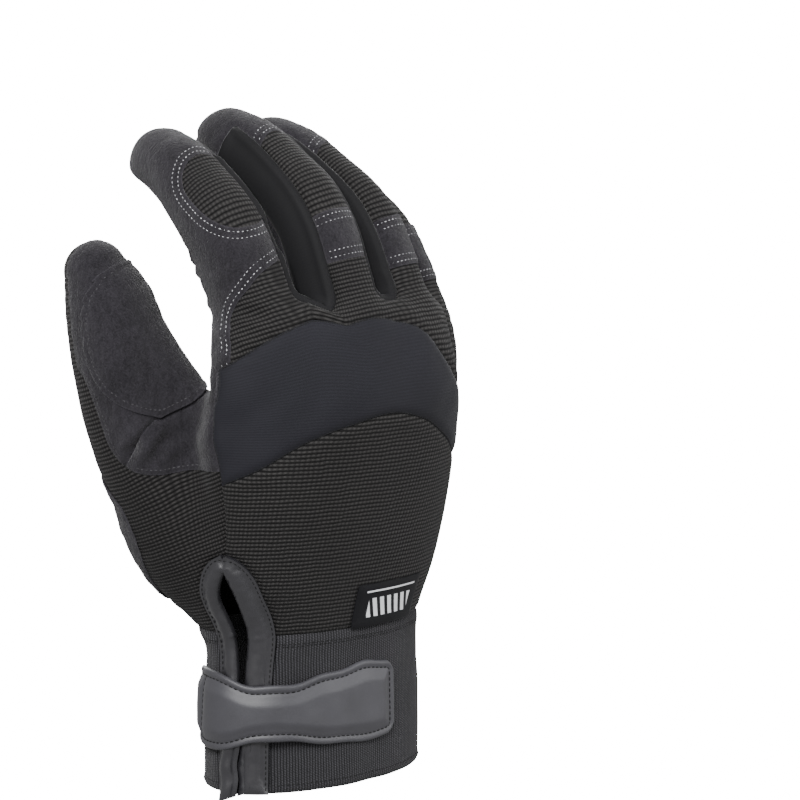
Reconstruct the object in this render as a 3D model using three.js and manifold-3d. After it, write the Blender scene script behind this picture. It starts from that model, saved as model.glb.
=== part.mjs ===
// A work glove for the right hand, in the cupped shape it has when worn, with nobody in it.
// Millimetres. +Z runs from the mouth of the cuff to the fingertips, the back of the hand faces -Y,
// the palm +Y and the thumb -X. The shell is one smooth surface, worked out with straight fingers in
// a flat frame, cut along its seams into the pieces it is sewn from, bent to the worn pose and given
// the thickness of its cloth.

import * as THREE from 'three';
import ManifoldModule from 'manifold-3d';

const { clamp, degToRad, lerp, smoothstep } = THREE.MathUtils;
const solids = await ManifoldModule();
solids.setup();

// Sizes of the shell
const CUFF_HEIGHT = 50;
const CUFF_WIDTH = 80.5;
const CUFF_DEPTH = 46;
const PALM_LENGTH = 102;
const PALM_WIDTH = 104;
const PALM_DEPTH = 40;
const FINGER_LENGTH = 98;
const FINGER_WIDTH = 25;
const FINGER_DEPTH = 27.5;
const FINGER_SPACE = 1.1;
const THUMB_LENGTH = 100;
const THUMB_WIDTH = 31;
const KNUCKLE_ARCH = 85;
const LITTLE_ARCH = 52;
const HAND_LEAN = 22.3;
const HAND_SWAY = 8;
const ARCH_PEAK = -6;

// Sizes of the cloth and what is sewn to it
const WALL = 2.2;
const BAND_WALL = 2.8;
const PATCH_WALL = 1;
const LABEL_WALL = 0.8;
const SEAM_GAP = 0.3;
const SLIT_HEIGHT = 71;
const SLIT_OPENING = 4.4;
const BINDING_WIDTH = 5.4;
const BINDING_RISE = 0.9;
const STRAP_WIDTH = 25;
const STRAP_LENGTH = 81;
const STRAP_WALL = 1.8;
const LABEL_WIDTH = 28;
const LABEL_HEIGHT = 14;
const MESH_STEP = 7.7;
const SLIT_STEP = 3.6;

const KNUCKLE_SHARE = 0.82;
const KNUCKLES = CUFF_HEIGHT + KNUCKLE_SHARE * PALM_LENGTH;
const CROTCHES = CUFF_HEIGHT + PALM_LENGTH;

// Sections of the hand without its fingers. cuff and palm give the height as shares of those
// heights, blend goes from the cuff's width and depth to the palm's, and the last four columns are
// the reach from the middle as shares of half that width or depth.
const HAND_SECTIONS = [
  { cuff: -0.2, palm: 0, blend: 0, thumbSide: 1, littleSide: 1, back: 1, front: 1 },
  { cuff: 0.5, palm: 0, blend: 0, thumbSide: 0.99, littleSide: 0.99, back: 0.98, front: 0.98 },
  { cuff: 1, palm: 0, blend: 0, thumbSide: 0.97, littleSide: 0.98, back: 0.97, front: 0.97 },
  { cuff: 1, palm: 0.15, blend: 0.3, thumbSide: 1.01, littleSide: 1, back: 1, front: 1.04 },
  { cuff: 1, palm: 0.34, blend: 0.7, thumbSide: 1.02, littleSide: 0.95, back: 0.98, front: 1.1 },
  { cuff: 1, palm: 0.53, blend: 1, thumbSide: 1.07, littleSide: 0.885, back: 0.94, front: 1.06 },
  { cuff: 1, palm: 0.7, blend: 1, thumbSide: 1.165, littleSide: 0.855, back: 0.88, front: 0.96 },
  { cuff: 1, palm: 0.85, blend: 1, thumbSide: 1.11, littleSide: 0.85, back: 0.78, front: 0.84 },
  { cuff: 1, palm: 1.05, blend: 1, thumbSide: 0.95, littleSide: 0.84, back: 0.62, front: 0.66 },
];

// The fingers: length and width as shares of the named sizes, the knuckle's height as a share of the
// palm's length, then the angles of the pose in degrees.
const FINGERS = [
  { name: 'index', knuckle: 0.824, length: 0.93, width: 1, splay: -12, turn: 15, bends: [16, 34, 23] },
  { name: 'middle', knuckle: 0.826, length: 1, width: 1, splay: -4, turn: 10, bends: [17, 35, 18] },
  { name: 'ring', knuckle: 0.831, length: 0.96, width: 0.97, splay: 1.5, turn: -2.5, bends: [22, 31, 12] },
  { name: 'little', knuckle: 0.836, length: 0.82, width: 0.92, splay: 4, turn: -22, bends: [25, 26, 15] },
];

// Sections along a finger, from its knuckle to its tip, as shares of its length, width and depth.
const FINGER_SECTIONS = [
  { along: -0.4, width: 0.9, depth: 0.9 },
  { along: 0, width: 0.98, depth: 1 },
  { along: 0.3, width: 1, depth: 1 },
  { along: 0.48, width: 0.99, depth: 0.98 },
  { along: 0.62, width: 0.95, depth: 0.93 },
  { along: 0.78, width: 0.92, depth: 0.9 },
  { along: 0.9, width: 0.86, depth: 0.84 },
];
const FINGER_JOINTS = [
  { along: 0, spread: 0.34 },
  { along: 0.47, spread: 0.3 },
  { along: 0.76, spread: 0.22 },
];
const TIP_ROUNDING = 0.13;
const FINGER_ROOT = -0.35;

// The thumb's centre line in the flat frame: height as a share of its length above the heel of the
// palm, the way out to the thumb's side and to the front as shares of the palm's width and depth, and
// the half thickness as a share of the thumb's width.
const THUMB_HEEL_SHARE = 0.17;
const THUMB_HEEL = CUFF_HEIGHT + THUMB_HEEL_SHARE * PALM_LENGTH;
const THUMB_SECTIONS = [
  { rise: -0.04, out: 0.26, front: 0.2, radius: 0.54 },
  { rise: 0.13, out: 0.4, front: 0.42, radius: 0.62 },
  { rise: 0.31, out: 0.54, front: 0.56, radius: 0.565 },
  { rise: 0.5, out: 0.622, front: 0.6, radius: 0.525 },
  { rise: 0.69, out: 0.668, front: 0.62, radius: 0.49 },
  { rise: 0.83, out: 0.695, front: 0.66, radius: 0.44 },
  { rise: 0.95, out: 0.73, front: 0.72, radius: 0.31 },
];
// Roundings where the fingers, the thumb and the webs meet the hand, how square the sections are, and
// how far the edge of the webs drops towards the little finger and the front
const THUMB_BLEND = 8;
const CUFF_POWER = 2.1;
const PALM_POWER = 2.5;
const WEB_DROP = 0.02;
const WEB_SLOPE = 0.2;
const WEB_ROUNDING = 6;
const FINGER_BLEND = 5;

// Smooth curve through a table's rows: the named column at a place along the key column.
function columnAt(rows, key, column, place) {
  const last = rows.length - 1;
  const at = clamp(place, rows[0][key], rows[last][key]);
  let row = 0;
  while (row < last - 1 && at > rows[row + 1][key]) row += 1;
  const slope = (k) => {
    const before = rows[Math.max(k - 1, 0)];
    const after = rows[Math.min(k + 1, last)];
    return (after[column] - before[column]) / (after[key] - before[key]);
  };
  const span = rows[row + 1][key] - rows[row][key];
  const t = (at - rows[row][key]) / span;
  const t2 = t * t;
  const t3 = t2 * t;
  return (
    rows[row][column] * (2 * t3 - 3 * t2 + 1) +
    slope(row) * span * (t3 - 2 * t2 + t) +
    rows[row + 1][column] * (3 * t2 - 2 * t3) +
    slope(row + 1) * span * (t3 - t2)
  );
}

const smoothMin = (a, b, reach) => {
  const h = Math.max(reach - Math.abs(a - b), 0) / reach;
  return Math.min(a, b) - (h * h * reach) / 4;
};
const smoothMax = (a, b, reach) => -smoothMin(-a, -b, reach);

// The tables in millimetres
const handRows = HAND_SECTIONS.map((row) => ({
  z: row.cuff * CUFF_HEIGHT + row.palm * PALM_LENGTH,
  thumbSide: (row.thumbSide * lerp(CUFF_WIDTH, PALM_WIDTH, row.blend)) / 2,
  littleSide: (row.littleSide * lerp(CUFF_WIDTH, PALM_WIDTH, row.blend)) / 2,
  back: (row.back * lerp(CUFF_DEPTH, PALM_DEPTH, row.blend)) / 2,
  front: (row.front * lerp(CUFF_DEPTH, PALM_DEPTH, row.blend)) / 2,
}));
const fingersWidth = FINGERS.reduce((sum, finger) => sum + finger.width * FINGER_WIDTH + FINGER_SPACE, 0);
const fingers = [];
for (const row of FINGERS) {
  const before = fingers.at(-1);
  const half = (row.width * FINGER_WIDTH + FINGER_SPACE) / 2;
  const left = before ? before.right : -fingersWidth / 2;
  fingers.push({
    ...row,
    left,
    right: left + 2 * half,
    x: left + half,
    z: CUFF_HEIGHT + row.knuckle * PALM_LENGTH,
    length: row.length * FINGER_LENGTH,
    halfWidth: (row.width * FINGER_WIDTH) / 2,
    halfDepth: (row.width * FINGER_DEPTH) / 2,
  });
}
const thumbRows = THUMB_SECTIONS.map((row) => ({
  point: new THREE.Vector3(
    -row.out * PALM_WIDTH,
    row.front * PALM_DEPTH,
    THUMB_HEEL + row.rise * THUMB_LENGTH,
  ),
  radius: row.radius * THUMB_WIDTH,
}));
const thumbCurve = new THREE.CatmullRomCurve3(thumbRows.map((row) => row.point));
const THUMB_STEPS = 24;
const thumbSteps = Array.from({ length: THUMB_STEPS + 1 }, (_, k) => {
  const place = (k / THUMB_STEPS) * (thumbRows.length - 1);
  const row = Math.min(Math.floor(place), thumbRows.length - 2);
  return {
    point: thumbCurve.getPoint(k / THUMB_STEPS),
    radius: lerp(thumbRows[row].radius, thumbRows[row + 1].radius, place - row),
  };
});

// Distance to an oval section with half sizes a and b and a squareness, to first order.
function ovalDistance(x, y, a, b, power) {
  const u = Math.abs(x) / a;
  const v = Math.abs(y) / b;
  const r = Math.pow(Math.pow(u, power) + Math.pow(v, power), 1 / power);
  const nearMiddle = 0.15;
  if (r < nearMiddle) return -Math.min(a, b) * (1 - r);
  const du = Math.pow(u / r, power - 1) / a;
  const dv = Math.pow(v / r, power - 1) / b;
  return (r - 1) / Math.hypot(du, dv);
}

function handDistance(x, y, z) {
  const column = (name) => columnAt(handRows, 'z', name, z);
  const wide = x < 0 ? column('thumbSide') : column('littleSide');
  const deep = y < 0 ? column('back') : column('front');
  const squareness = lerp(CUFF_POWER, PALM_POWER, smoothstep(z, CUFF_HEIGHT, KNUCKLES));
  const webDrop = WEB_DROP * PALM_LENGTH * smoothstep(x, 0, PALM_WIDTH / 2) - WEB_SLOPE * y;
  return smoothMax(ovalDistance(x, y, wide, deep, squareness), z - CROTCHES + webDrop, WEB_ROUNDING);
}

function fingerDistance(finger, x, y, z) {
  const s = z - finger.z;
  const share = s / finger.length;
  const wide = finger.halfWidth * columnAt(FINGER_SECTIONS, 'along', 'width', share);
  const deep = finger.halfDepth * columnAt(FINGER_SECTIONS, 'along', 'depth', share);
  const cap = TIP_ROUNDING * finger.length;
  const beyond = Math.max(s - (finger.length - cap), 0) / cap;
  const u = (x - finger.x) / wide;
  const v = y / deep;
  const r = Math.hypot(u, v, beyond);
  const slope = Math.hypot(u / wide, v / deep, beyond / cap) / Math.max(r, 0.2);
  const side = (r - 1) / Math.max(slope, 1 / finger.halfWidth / 2);
  return Math.max(side, FINGER_ROOT * finger.length - s);
}

const segment = new THREE.Line3();
const nearest = new THREE.Vector3();
function nearestOnThumb(point) {
  let best = { distance: Infinity };
  for (let k = 0; k < THUMB_STEPS; k += 1) {
    segment.set(thumbSteps[k].point, thumbSteps[k + 1].point);
    const t = segment.closestPointToPointParameter(point, true);
    segment.at(t, nearest);
    const radius = lerp(thumbSteps[k].radius, thumbSteps[k + 1].radius, t);
    const distance = point.distanceTo(nearest) - radius;
    if (distance < best.distance) {
      best = { distance, radius, place: (k + t) / THUMB_STEPS, centre: nearest.clone() };
    }
  }
  return best;
}

function fistDistance(point) {
  const { x, y, z } = point;
  const hand = handDistance(x, y, z);
  return Math.min(...fingers.map((finger) => smoothMin(hand, fingerDistance(finger, x, y, z), FINGER_BLEND)));
}

function gloveDistance(point) {
  return smoothMin(fistDistance(point), nearestOnThumb(point).distance, THUMB_BLEND);
}

// The pose. The knuckles' row is arched and leans back over the cuff, each finger bends at its three
// joints and splays, and the thumb keeps the place of its root.
const BEND_STEPS = 160;
const BEND_START = -0.4;
const BEND_END = 1.2;
function bendLine(finger) {
  const line = [];
  const step = (BEND_END - BEND_START) / BEND_STEPS;
  const zero = Math.round(-BEND_START / step);
  for (let k = 0; k <= BEND_STEPS; k += 1) {
    const along = BEND_START + k * step;
    const angle = FINGER_JOINTS.reduce((sum, joint, j) => {
      const from = joint.along - joint.spread / 2;
      return sum + degToRad(finger.bends[j]) * smoothstep(along, from, from + joint.spread);
    }, 0);
    const before = line.at(-1) ?? { y: 0, z: 0, angle };
    const mean = (angle + before.angle) / 2;
    const length = k ? step * finger.length : 0;
    line.push({ y: before.y + Math.sin(mean) * length, z: before.z + Math.cos(mean) * length, angle });
  }
  const root = line[zero];
  return line.map((node) => ({ y: node.y - root.y, z: node.z - root.z, angle: node.angle }));
}
for (const finger of fingers) finger.line = bendLine(finger);

const ARCH_START = 0.8;
const archRadius = (x) => (x < ARCH_PEAK ? KNUCKLE_ARCH : LITTLE_ARCH);

function archPlace(x, y, z, placeX, placeZ) {
  const share = smoothstep(placeZ, ARCH_START * CUFF_HEIGHT, KNUCKLES);
  const curve = Math.max(share, 1e-4) / archRadius(placeX);
  const turn = (placeX - ARCH_PEAK) * curve;
  const beside = x - placeX;
  return new THREE.Vector3(
    ARCH_PEAK + HAND_SWAY * share + Math.sin(turn) / curve + beside * Math.cos(turn) - y * Math.sin(turn),
    -HAND_LEAN * share + (1 - Math.cos(turn)) / curve + beside * Math.sin(turn) + y * Math.cos(turn),
    z,
  );
}

const UP = new THREE.Vector3(0, 0, 1);
const FRONT = new THREE.Vector3(0, 1, 0);
function fingerPlace(finger, x, y, z) {
  const share = (z - finger.z) / finger.length;
  const step = clamp(((share - BEND_START) / (BEND_END - BEND_START)) * BEND_STEPS, 0, BEND_STEPS - 1e-3);
  const node = finger.line[Math.floor(step)];
  const next = finger.line[Math.floor(step) + 1];
  const t = step - Math.floor(step);
  const angle = lerp(node.angle, next.angle, t);
  const below = Math.min(share - BEND_START, 0) * finger.length;
  const local = new THREE.Vector3(
    x - finger.x,
    lerp(node.y, next.y, t) + y * Math.cos(angle),
    lerp(node.z, next.z, t) - y * Math.sin(angle) + below,
  );
  local.applyAxisAngle(FRONT, degToRad(finger.splay));
  local.applyAxisAngle(UP, (finger.x - ARCH_PEAK) / archRadius(finger.x) + degToRad(finger.turn));
  return local.add(archPlace(finger.x, 0, finger.z, finger.x, KNUCKLES));
}

const THUMB_ROOT_SIDE = -0.43;
const THUMB_ROOT_UP = 0.39;
const THUMB_ROOT = { x: THUMB_ROOT_SIDE * PALM_WIDTH, z: CUFF_HEIGHT + THUMB_ROOT_UP * PALM_LENGTH };
const THUMB_JOINING = { from: -4, to: 12 };
const FINGER_JOINING = { from: KNUCKLES - 24, to: KNUCKLES + 2 };
const KNUCKLE_SPREAD = 16;
function posed(point) {
  const { x, y, z } = point;
  const nearer = fistDistance(point) - nearestOnThumb(point).distance;
  const isThumb = smoothstep(nearer, THUMB_JOINING.from, THUMB_JOINING.to);
  const placeX = lerp(x, Math.max(x, THUMB_ROOT.x), isThumb);
  const placeZ = lerp(z, Math.min(z, THUMB_ROOT.z), isThumb);
  const place = archPlace(x, y, z, placeX, placeZ);
  const isFinger = smoothstep(z, FINGER_JOINING.from, FINGER_JOINING.to) * (1 - isThumb);
  if (isFinger === 0) return place;
  const sharpness = lerp(KNUCKLE_SPREAD, FINGER_SPACE / 2, smoothstep(z, KNUCKLES, CROTCHES));
  const fingered = new THREE.Vector3();
  let left = 1;
  fingers.forEach((finger, k) => {
    const share = k === fingers.length - 1 ? 1 : smoothstep(finger.right - x, -sharpness / 2, sharpness / 2);
    fingered.addScaledVector(fingerPlace(finger, x, y, z), left * share);
    left *= 1 - share;
  });
  return place.lerp(fingered, isFinger);
}

// Surface of the flat shell: surface nets on a grid whose lines run between the fingers, each vertex
// then drawn onto the surface and evened out along it.
function gridLines(from, to, step, fixed = []) {
  const stops = [from, ...fixed, to];
  const lines = [];
  for (let k = 1; k < stops.length; k += 1) {
    const count = Math.max(1, Math.round((stops[k] - stops[k - 1]) / step));
    for (let n = 0; n < count; n += 1) lines.push(lerp(stops[k - 1], stops[k], n / count));
  }
  lines.push(to);
  return lines;
}

// Slope of the field at a point, and the point moved along it onto the surface
const NUDGE = 0.25;
function slopeAt(point) {
  const slope = new THREE.Vector3();
  for (const axis of ['x', 'y', 'z']) {
    const ahead = point.clone();
    ahead[axis] += NUDGE;
    const behind = point.clone();
    behind[axis] -= NUDGE;
    slope[axis] = (gloveDistance(ahead) - gloveDistance(behind)) / (2 * NUDGE);
  }
  return slope;
}

function drawOnto(point) {
  for (let turn = 0; turn < 3; turn += 1) {
    const slope = slopeAt(point);
    const step = gloveDistance(point) / Math.max(slope.lengthSq(), 0.2);
    point.addScaledVector(slope, -clamp(step, -MESH_STEP / 2, MESH_STEP / 2));
  }
  return point;
}

const GRID_SIDES = { low: -1.15, high: 0.66 };
const GRID_FRONT = { low: -0.75, high: 1.2 };
const GRID_HEIGHT = { low: -0.19, high: 1.08 };
function shellSurface() {
  const between = fingers.slice(0, -1).map((finger) => finger.right);
  const axes = [
    gridLines(GRID_SIDES.low * PALM_WIDTH, GRID_SIDES.high * PALM_WIDTH, MESH_STEP, [fingers[0].left, ...between]),
    gridLines(GRID_FRONT.low * CUFF_DEPTH, GRID_FRONT.high * CUFF_DEPTH, MESH_STEP, [0]),
    gridLines(GRID_HEIGHT.low * CUFF_HEIGHT, KNUCKLES + GRID_HEIGHT.high * FINGER_LENGTH, MESH_STEP, [CUFF_HEIGHT]),
  ];
  const [nx, ny, nz] = axes.map((lines) => lines.length);
  const index = (i, j, k) => (i * ny + j) * nz + k;
  const values = new Float64Array(nx * ny * nz);
  const corner = new THREE.Vector3();
  for (let i = 0; i < nx; i += 1) {
    for (let j = 0; j < ny; j += 1) {
      for (let k = 0; k < nz; k += 1) {
        values[index(i, j, k)] = gloveDistance(corner.set(axes[0][i], axes[1][j], axes[2][k]));
      }
    }
  }
  // One point for each part of the body that a cell holds, the mean of where its own edges are crossed.
  const points = [];
  const cellPoint = new Map();
  const shiftOf = (corner) => [corner & 1, (corner >> 1) & 1, corner >> 2];
  for (let i = 0; i < nx - 1; i += 1) {
    for (let j = 0; j < ny - 1; j += 1) {
      for (let k = 0; k < nz - 1; k += 1) {
        const at = Array.from({ length: 8 }, (_, corner) => {
          const [p, q, r] = shiftOf(corner);
          return values[index(i + p, j + q, k + r)];
        });
        if (at.every((value) => value < 0) || at.every((value) => value >= 0)) continue;
        const edges = [];
        for (let corner = 0; corner < 8; corner += 1) {
          for (const bit of [1, 2, 4]) if (!(corner & bit)) edges.push([corner, corner | bit, Math.log2(bit)]);
        }
        const label = at.map((_, corner) => corner);
        for (let turn = 0; turn < 4; turn += 1) {
          for (const [a, b] of edges) {
            if (at[a] < 0 && at[b] < 0) label[a] = label[b] = Math.min(label[a], label[b]);
          }
        }
        for (const own of new Set(label.filter((_, corner) => at[corner] < 0))) {
          const sum = new THREE.Vector3();
          let crossings = 0;
          for (const [a, b, axis] of edges) {
            if (at[a] < 0 === at[b] < 0 || label[at[a] < 0 ? a : b] !== own) continue;
            const place = shiftOf(a).map((shift, d) => axes[d][[i, j, k][d] + shift]);
            place[axis] = lerp(place[axis], axes[axis][[i, j, k][axis] + 1], at[a] / (at[a] - at[b]));
            sum.add(new THREE.Vector3(...place));
            crossings += 1;
          }
          label.forEach((name, corner) => {
            if (name === own && at[corner] < 0) cellPoint.set(8 * index(i, j, k) + corner, points.length);
          });
          points.push(sum.divideScalar(crossings));
        }
      }
    }
  }
  const faces = [];
  for (let i = 1; i < nx - 1; i += 1) {
    for (let j = 1; j < ny - 1; j += 1) {
      for (let k = 1; k < nz - 1; k += 1) {
        for (let axis = 0; axis < 3; axis += 1) {
          const to = [i, j, k];
          to[axis] += 1;
          const inside = values[index(i, j, k)] < 0;
          if (inside === values[index(...to)] < 0) continue;
          const within = inside ? [i, j, k] : to;
          const ring = [[0, 0], [1, 0], [1, 1], [0, 1]].map(([p, q]) => {
            const cell = [i, j, k];
            cell[(axis + 1) % 3] -= p;
            cell[(axis + 2) % 3] -= q;
            const [u, v, w] = within.map((n, d) => n - cell[d]);
            return cellPoint.get(8 * index(...cell) + u + 2 * v + 4 * w);
          });
          const quad = inside ? ring : ring.reverse();
          const [a, b, c, d] = quad;
          if (points[a].distanceTo(points[c]) < points[b].distanceTo(points[d])) faces.push([a, b, c], [a, c, d]);
          else faces.push([b, c, d], [b, d, a]);
        }
      }
    }
  }
  points.forEach(drawOnto);
  const EVENING_TURNS = 3;
  for (let turn = 0; turn < EVENING_TURNS; turn += 1) {
    const sums = points.map(() => new THREE.Vector3());
    const counts = points.map(() => 0);
    for (const face of faces) {
      face.forEach((v, n) => {
        sums[v].add(points[face[(n + 1) % 3]]);
        counts[v] += 1;
      });
    }
    points.forEach((point, v) => {
      if (counts[v]) point.lerp(sums[v].divideScalar(counts[v]), 0.5);
      drawOnto(point);
    });
  }
  return { points, faces };
}

// Cutting. Edges that cross a seam get a vertex there, and the faces beside them are split, so every
// seam runs along edges. near limits a seam to the place where it is sewn.
function splitEdges(surface, placeOnEdge) {
  const { points, faces } = surface;
  const added = new Map();
  const splitAt = (a, b) => {
    const key = a < b ? `${a},${b}` : `${b},${a}`;
    if (!added.has(key)) {
      const place = placeOnEdge(Math.min(a, b), Math.max(a, b));
      added.set(key, place ? points.push(place) - 1 : null);
    }
    return added.get(key);
  };
  const next = [];
  for (const face of faces) {
    const cuts = face.map((v, n) => splitAt(v, face[(n + 1) % 3]));
    const count = cuts.filter((cut) => cut !== null).length;
    if (count === 0) {
      next.push(face);
    } else if (count === 3) {
      const [a, b, c] = face;
      const [ab, bc, ca] = cuts;
      next.push([a, ab, ca], [ab, b, bc], [ca, bc, c], [ab, bc, ca]);
    } else {
      let turn = 0;
      if (count === 1) while (cuts[turn] === null) turn += 1;
      else while (cuts[(turn + 2) % 3] !== null) turn += 1;
      const [a, b, c] = [0, 1, 2].map((n) => face[(turn + n) % 3]);
      const [ab, bc] = [0, 1].map((n) => cuts[(turn + n) % 3]);
      if (count === 1) next.push([a, ab, c], [ab, b, c]);
      else next.push([ab, b, bc], [a, ab, bc], [a, bc, c]);
    }
  }
  surface.faces = next;
}

function refine(surface, near, longest) {
  splitEdges(surface, (a, b) => {
    const from = surface.points[a];
    const to = surface.points[b];
    if (from.distanceTo(to) < longest) return null;
    const middle = from.clone().lerp(to, 0.5);
    return near(middle) ? drawOnto(middle) : null;
  });
}

const SNAP = 0.2;
function cutAlong(surface, seam) {
  const { points, sewn } = surface;
  const value = points.map((point) => seam.value(point));
  const edges = surface.faces.flatMap((face) => face.map((v, n) => [v, face[(n + 1) % 3]]));
  for (const [a, b] of edges) {
    if (value[a] * value[b] >= 0) continue;
    const t = value[a] / (value[a] - value[b]);
    if (t > SNAP) continue;
    const place = points[a].clone().lerp(points[b], t);
    if (!seam.near(place)) continue;
    if (!sewn.has(a)) points[a].copy(place);
    value[a] = 0;
    sewn.add(a);
  }
  splitEdges(surface, (a, b) => {
    if (value[a] * value[b] >= 0) return null;
    const place = points[a].clone().lerp(points[b], value[a] / (value[a] - value[b]));
    if (!seam.near(place)) return null;
    sewn.add(points.length);
    return place;
  });
}

// Seams, as heights and reaches in the flat frame. Heights are shares of the palm's length above the
// cuff, reaches to the sides and to the front are shares of half the palm's width and depth.
const heightOf = (share) => CUFF_HEIGHT + share * PALM_LENGTH;
const heightShare = (z) => (z - CUFF_HEIGHT) / PALM_LENGTH;
const sideOf = (share) => (share * PALM_WIDTH) / 2;
const frontOf = (share) => (share * PALM_DEPTH) / 2;

// Seam between the back and the palm on the thumb's side, and the edge of the knit over the heel.
const THUMB_SIDE_SEAMS = [
  { up: 0, back: -0.35, palm: -0.28 },
  { up: 0.1, back: -0.35, palm: -0.39 },
  { up: 0.19, back: -0.35, palm: -0.51 },
  { up: 0.34, back: -0.35, palm: -0.85 },
  { up: 0.5, back: -0.36, palm: -1.09 },
  { up: 0.65, back: -0.3, palm: -1.2 },
  { up: 0.77, back: 0.04, palm: -1.25 },
  { up: 0.88, back: 0.12, palm: -1.3 },
];
// Edges of the band over the knuckles, from the thumb's side to the little finger's
const BAND_EDGES = [
  { across: -1.15, low: 0.43, high: 0.862 },
  { across: -0.85, low: 0.52, high: 0.904 },
  { across: -0.58, low: 0.61, high: 0.92 },
  { across: -0.19, low: 0.676, high: 0.931 },
  { across: 0.08, low: 0.645, high: 0.885 },
  { across: 0.3, low: 0.585, high: 0.79 },
  { across: 0.6, low: 0.5, high: 0.69 },
  { across: 1, low: 0.41, high: 0.61 },
];
// Edge of the suede that comes round the index finger onto its knuckle
const INDEX_EDGE = [
  { across: -1.06, up: 0.87 },
  { across: -0.98, up: 0.97 },
  { across: -0.92, up: 1.03 },
  { across: -0.86, up: 1.06 },
  { across: -0.76, up: 1.095 },
  { across: -0.58, up: 1.12 },
  { across: -0.44, up: 1.135 },
];
// Patches over the knuckles and the ends of the knit, as shares of each finger's length
const KNUCKLE_PATCHES = {
  middle: { from: 0.305, to: 0.44, knit: 0.73 },
  ring: { from: 0.265, to: 0.42, knit: 0.72 },
  little: { from: 0.21, to: 0.43, knit: 2 },
};
const INDEX_OVAL = { across: 0.06, along: 0.57, halfWidth: 0.82, halfLength: 0.135, power: 2.6 };
const KNIT_END_BOW = 0.07;
const FORK_START = 0.12;
const FORK_BACK = 0.72;
const FORK_FRONT = 0.3;
const INDEX_FORK_END = 0.84;
const LITTLE_FORK_END = 0.86;
// Patch on the heel of the thumb: its outer edge, and the patch on the thumb's inner side
const HEEL_EDGE = [
  { up: 0.07, front: 1.5 },
  { up: 0.09, front: 1.02 },
  { up: 0.18, front: 0.9 },
  { up: 0.3, front: 0.85 },
  { up: 0.41, front: 1.1 },
  { up: 0.47, front: 1.55 },
  { up: 0.52, front: 2.1 },
];
const THUMB_OVAL = { up: 0.9, halfHeight: 0.235, halfTurn: 112, power: 2.5 };
const THUMB_NAIL = new THREE.Vector3(-0.74, 0.67, 0);
const THUMB_KNIT = 0.66;
const SADDLE = 0.515;
const THUMB_SIDE = -0.8;
const THUMB_TOP = 0.8;
const SIDE_SEAM_TOP = 0.95;
const FOLD_TOP = 0.85;
const FOLD = { side: -1.4, up: 0.57, front: 0.45, sideSlope: 1.5, frontSlope: 1 };
// The slit at the wrist: where it runs and half its opening as a share
const SLIT = [
  { up: 0, front: -0.45, open: 0.15 },
  { up: 0.35, front: -0.45, open: 0.15 },
  { up: 0.55, front: -0.45, open: 0.22 },
  { up: 0.72, front: -0.42, open: 0.4 },
  { up: 0.88, front: -0.34, open: 0.5 },
  { up: 1, front: -0.33, open: 0 },
];
const LABEL_SIDE = -0.08;

const thumbBack = (z) => frontOf(columnAt(THUMB_SIDE_SEAMS, 'up', 'back', heightShare(z)));
const palmEdge = (z) => sideOf(columnAt(THUMB_SIDE_SEAMS, 'up', 'palm', heightShare(z)));
const bandEdge = (column, x) => heightOf(columnAt(BAND_EDGES, 'across', column, x / sideOf(1)));
const indexEdge = (x) => heightOf(columnAt(INDEX_EDGE, 'across', 'up', x / sideOf(1)));
const heelEdge = (z) => frontOf(columnAt(HEEL_EDGE, 'up', 'front', heightShare(z)));
const slitMiddle = (z) => frontOf(columnAt(SLIT, 'up', 'front', z / SLIT_HEIGHT));
const slitOpen = (z) => SLIT_OPENING * columnAt(SLIT, 'up', 'open', z / SLIT_HEIGHT);
const BINDING_TOP = SLIT_HEIGHT + BINDING_WIDTH;
const BINDING_BEND_SHARE = 0.84;
const BINDING_BEND = BINDING_BEND_SHARE * SLIT_HEIGHT;
function bindingReach(z) {
  const beyond = clamp((z - BINDING_BEND) / (BINDING_TOP - BINDING_BEND), 0, 1);
  return (slitOpen(Math.min(z, BINDING_BEND)) + BINDING_WIDTH) * Math.sqrt(1 - beyond * beyond);
}
const fingerAt = (x) => fingers.find((finger) => x < finger.right) ?? fingers.at(-1);
const forkBack = (finger) => -FORK_BACK * finger.halfDepth;
const forkFront = (finger) => FORK_FRONT * finger.halfDepth;
const patchOf = (x) => KNUCKLE_PATCHES[fingerAt(x).name];
const alongFinger = (point) => (point.z - fingerAt(point.x).z) / fingerAt(point.x).length;

function knitEnd(point) {
  const finger = fingerAt(point.x);
  const across = (point.x - finger.x) / finger.halfWidth;
  return alongFinger(point) - (patchOf(point.x)?.knit ?? 2) + KNIT_END_BOW * across * across;
}
function indexOval({ x, z }) {
  const [index] = fingers;
  const across = Math.abs((x - index.x) / index.halfWidth - INDEX_OVAL.across) / INDEX_OVAL.halfWidth;
  const along = Math.abs((z - index.z) / index.length - INDEX_OVAL.along) / INDEX_OVAL.halfLength;
  return Math.pow(across, INDEX_OVAL.power) + Math.pow(along, INDEX_OVAL.power) - 1;
}
function thumbTurn(point) {
  const away = point.clone().sub(nearestOnThumb(point).centre).setZ(0).normalize();
  return away.dot(THUMB_NAIL);
}
function thumbOval(point) {
  const turn = THREE.MathUtils.radToDeg(Math.acos(clamp(-thumbTurn(point), -1, 1))) / THUMB_OVAL.halfTurn;
  const up = Math.abs(heightShare(point.z) - THUMB_OVAL.up) / THUMB_OVAL.halfHeight;
  return Math.pow(turn, THUMB_OVAL.power) + Math.pow(up, THUMB_OVAL.power) - 1;
}
function foldHeight({ x, y, z }) {
  const across = FOLD.sideSlope * (x - sideOf(FOLD.side));
  return z - heightOf(FOLD.up) - across + FOLD.frontSlope * (y - frontOf(FOLD.front));
}
const onThumb = (point) => nearestOnThumb(point).distance < fistDistance(point);
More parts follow.
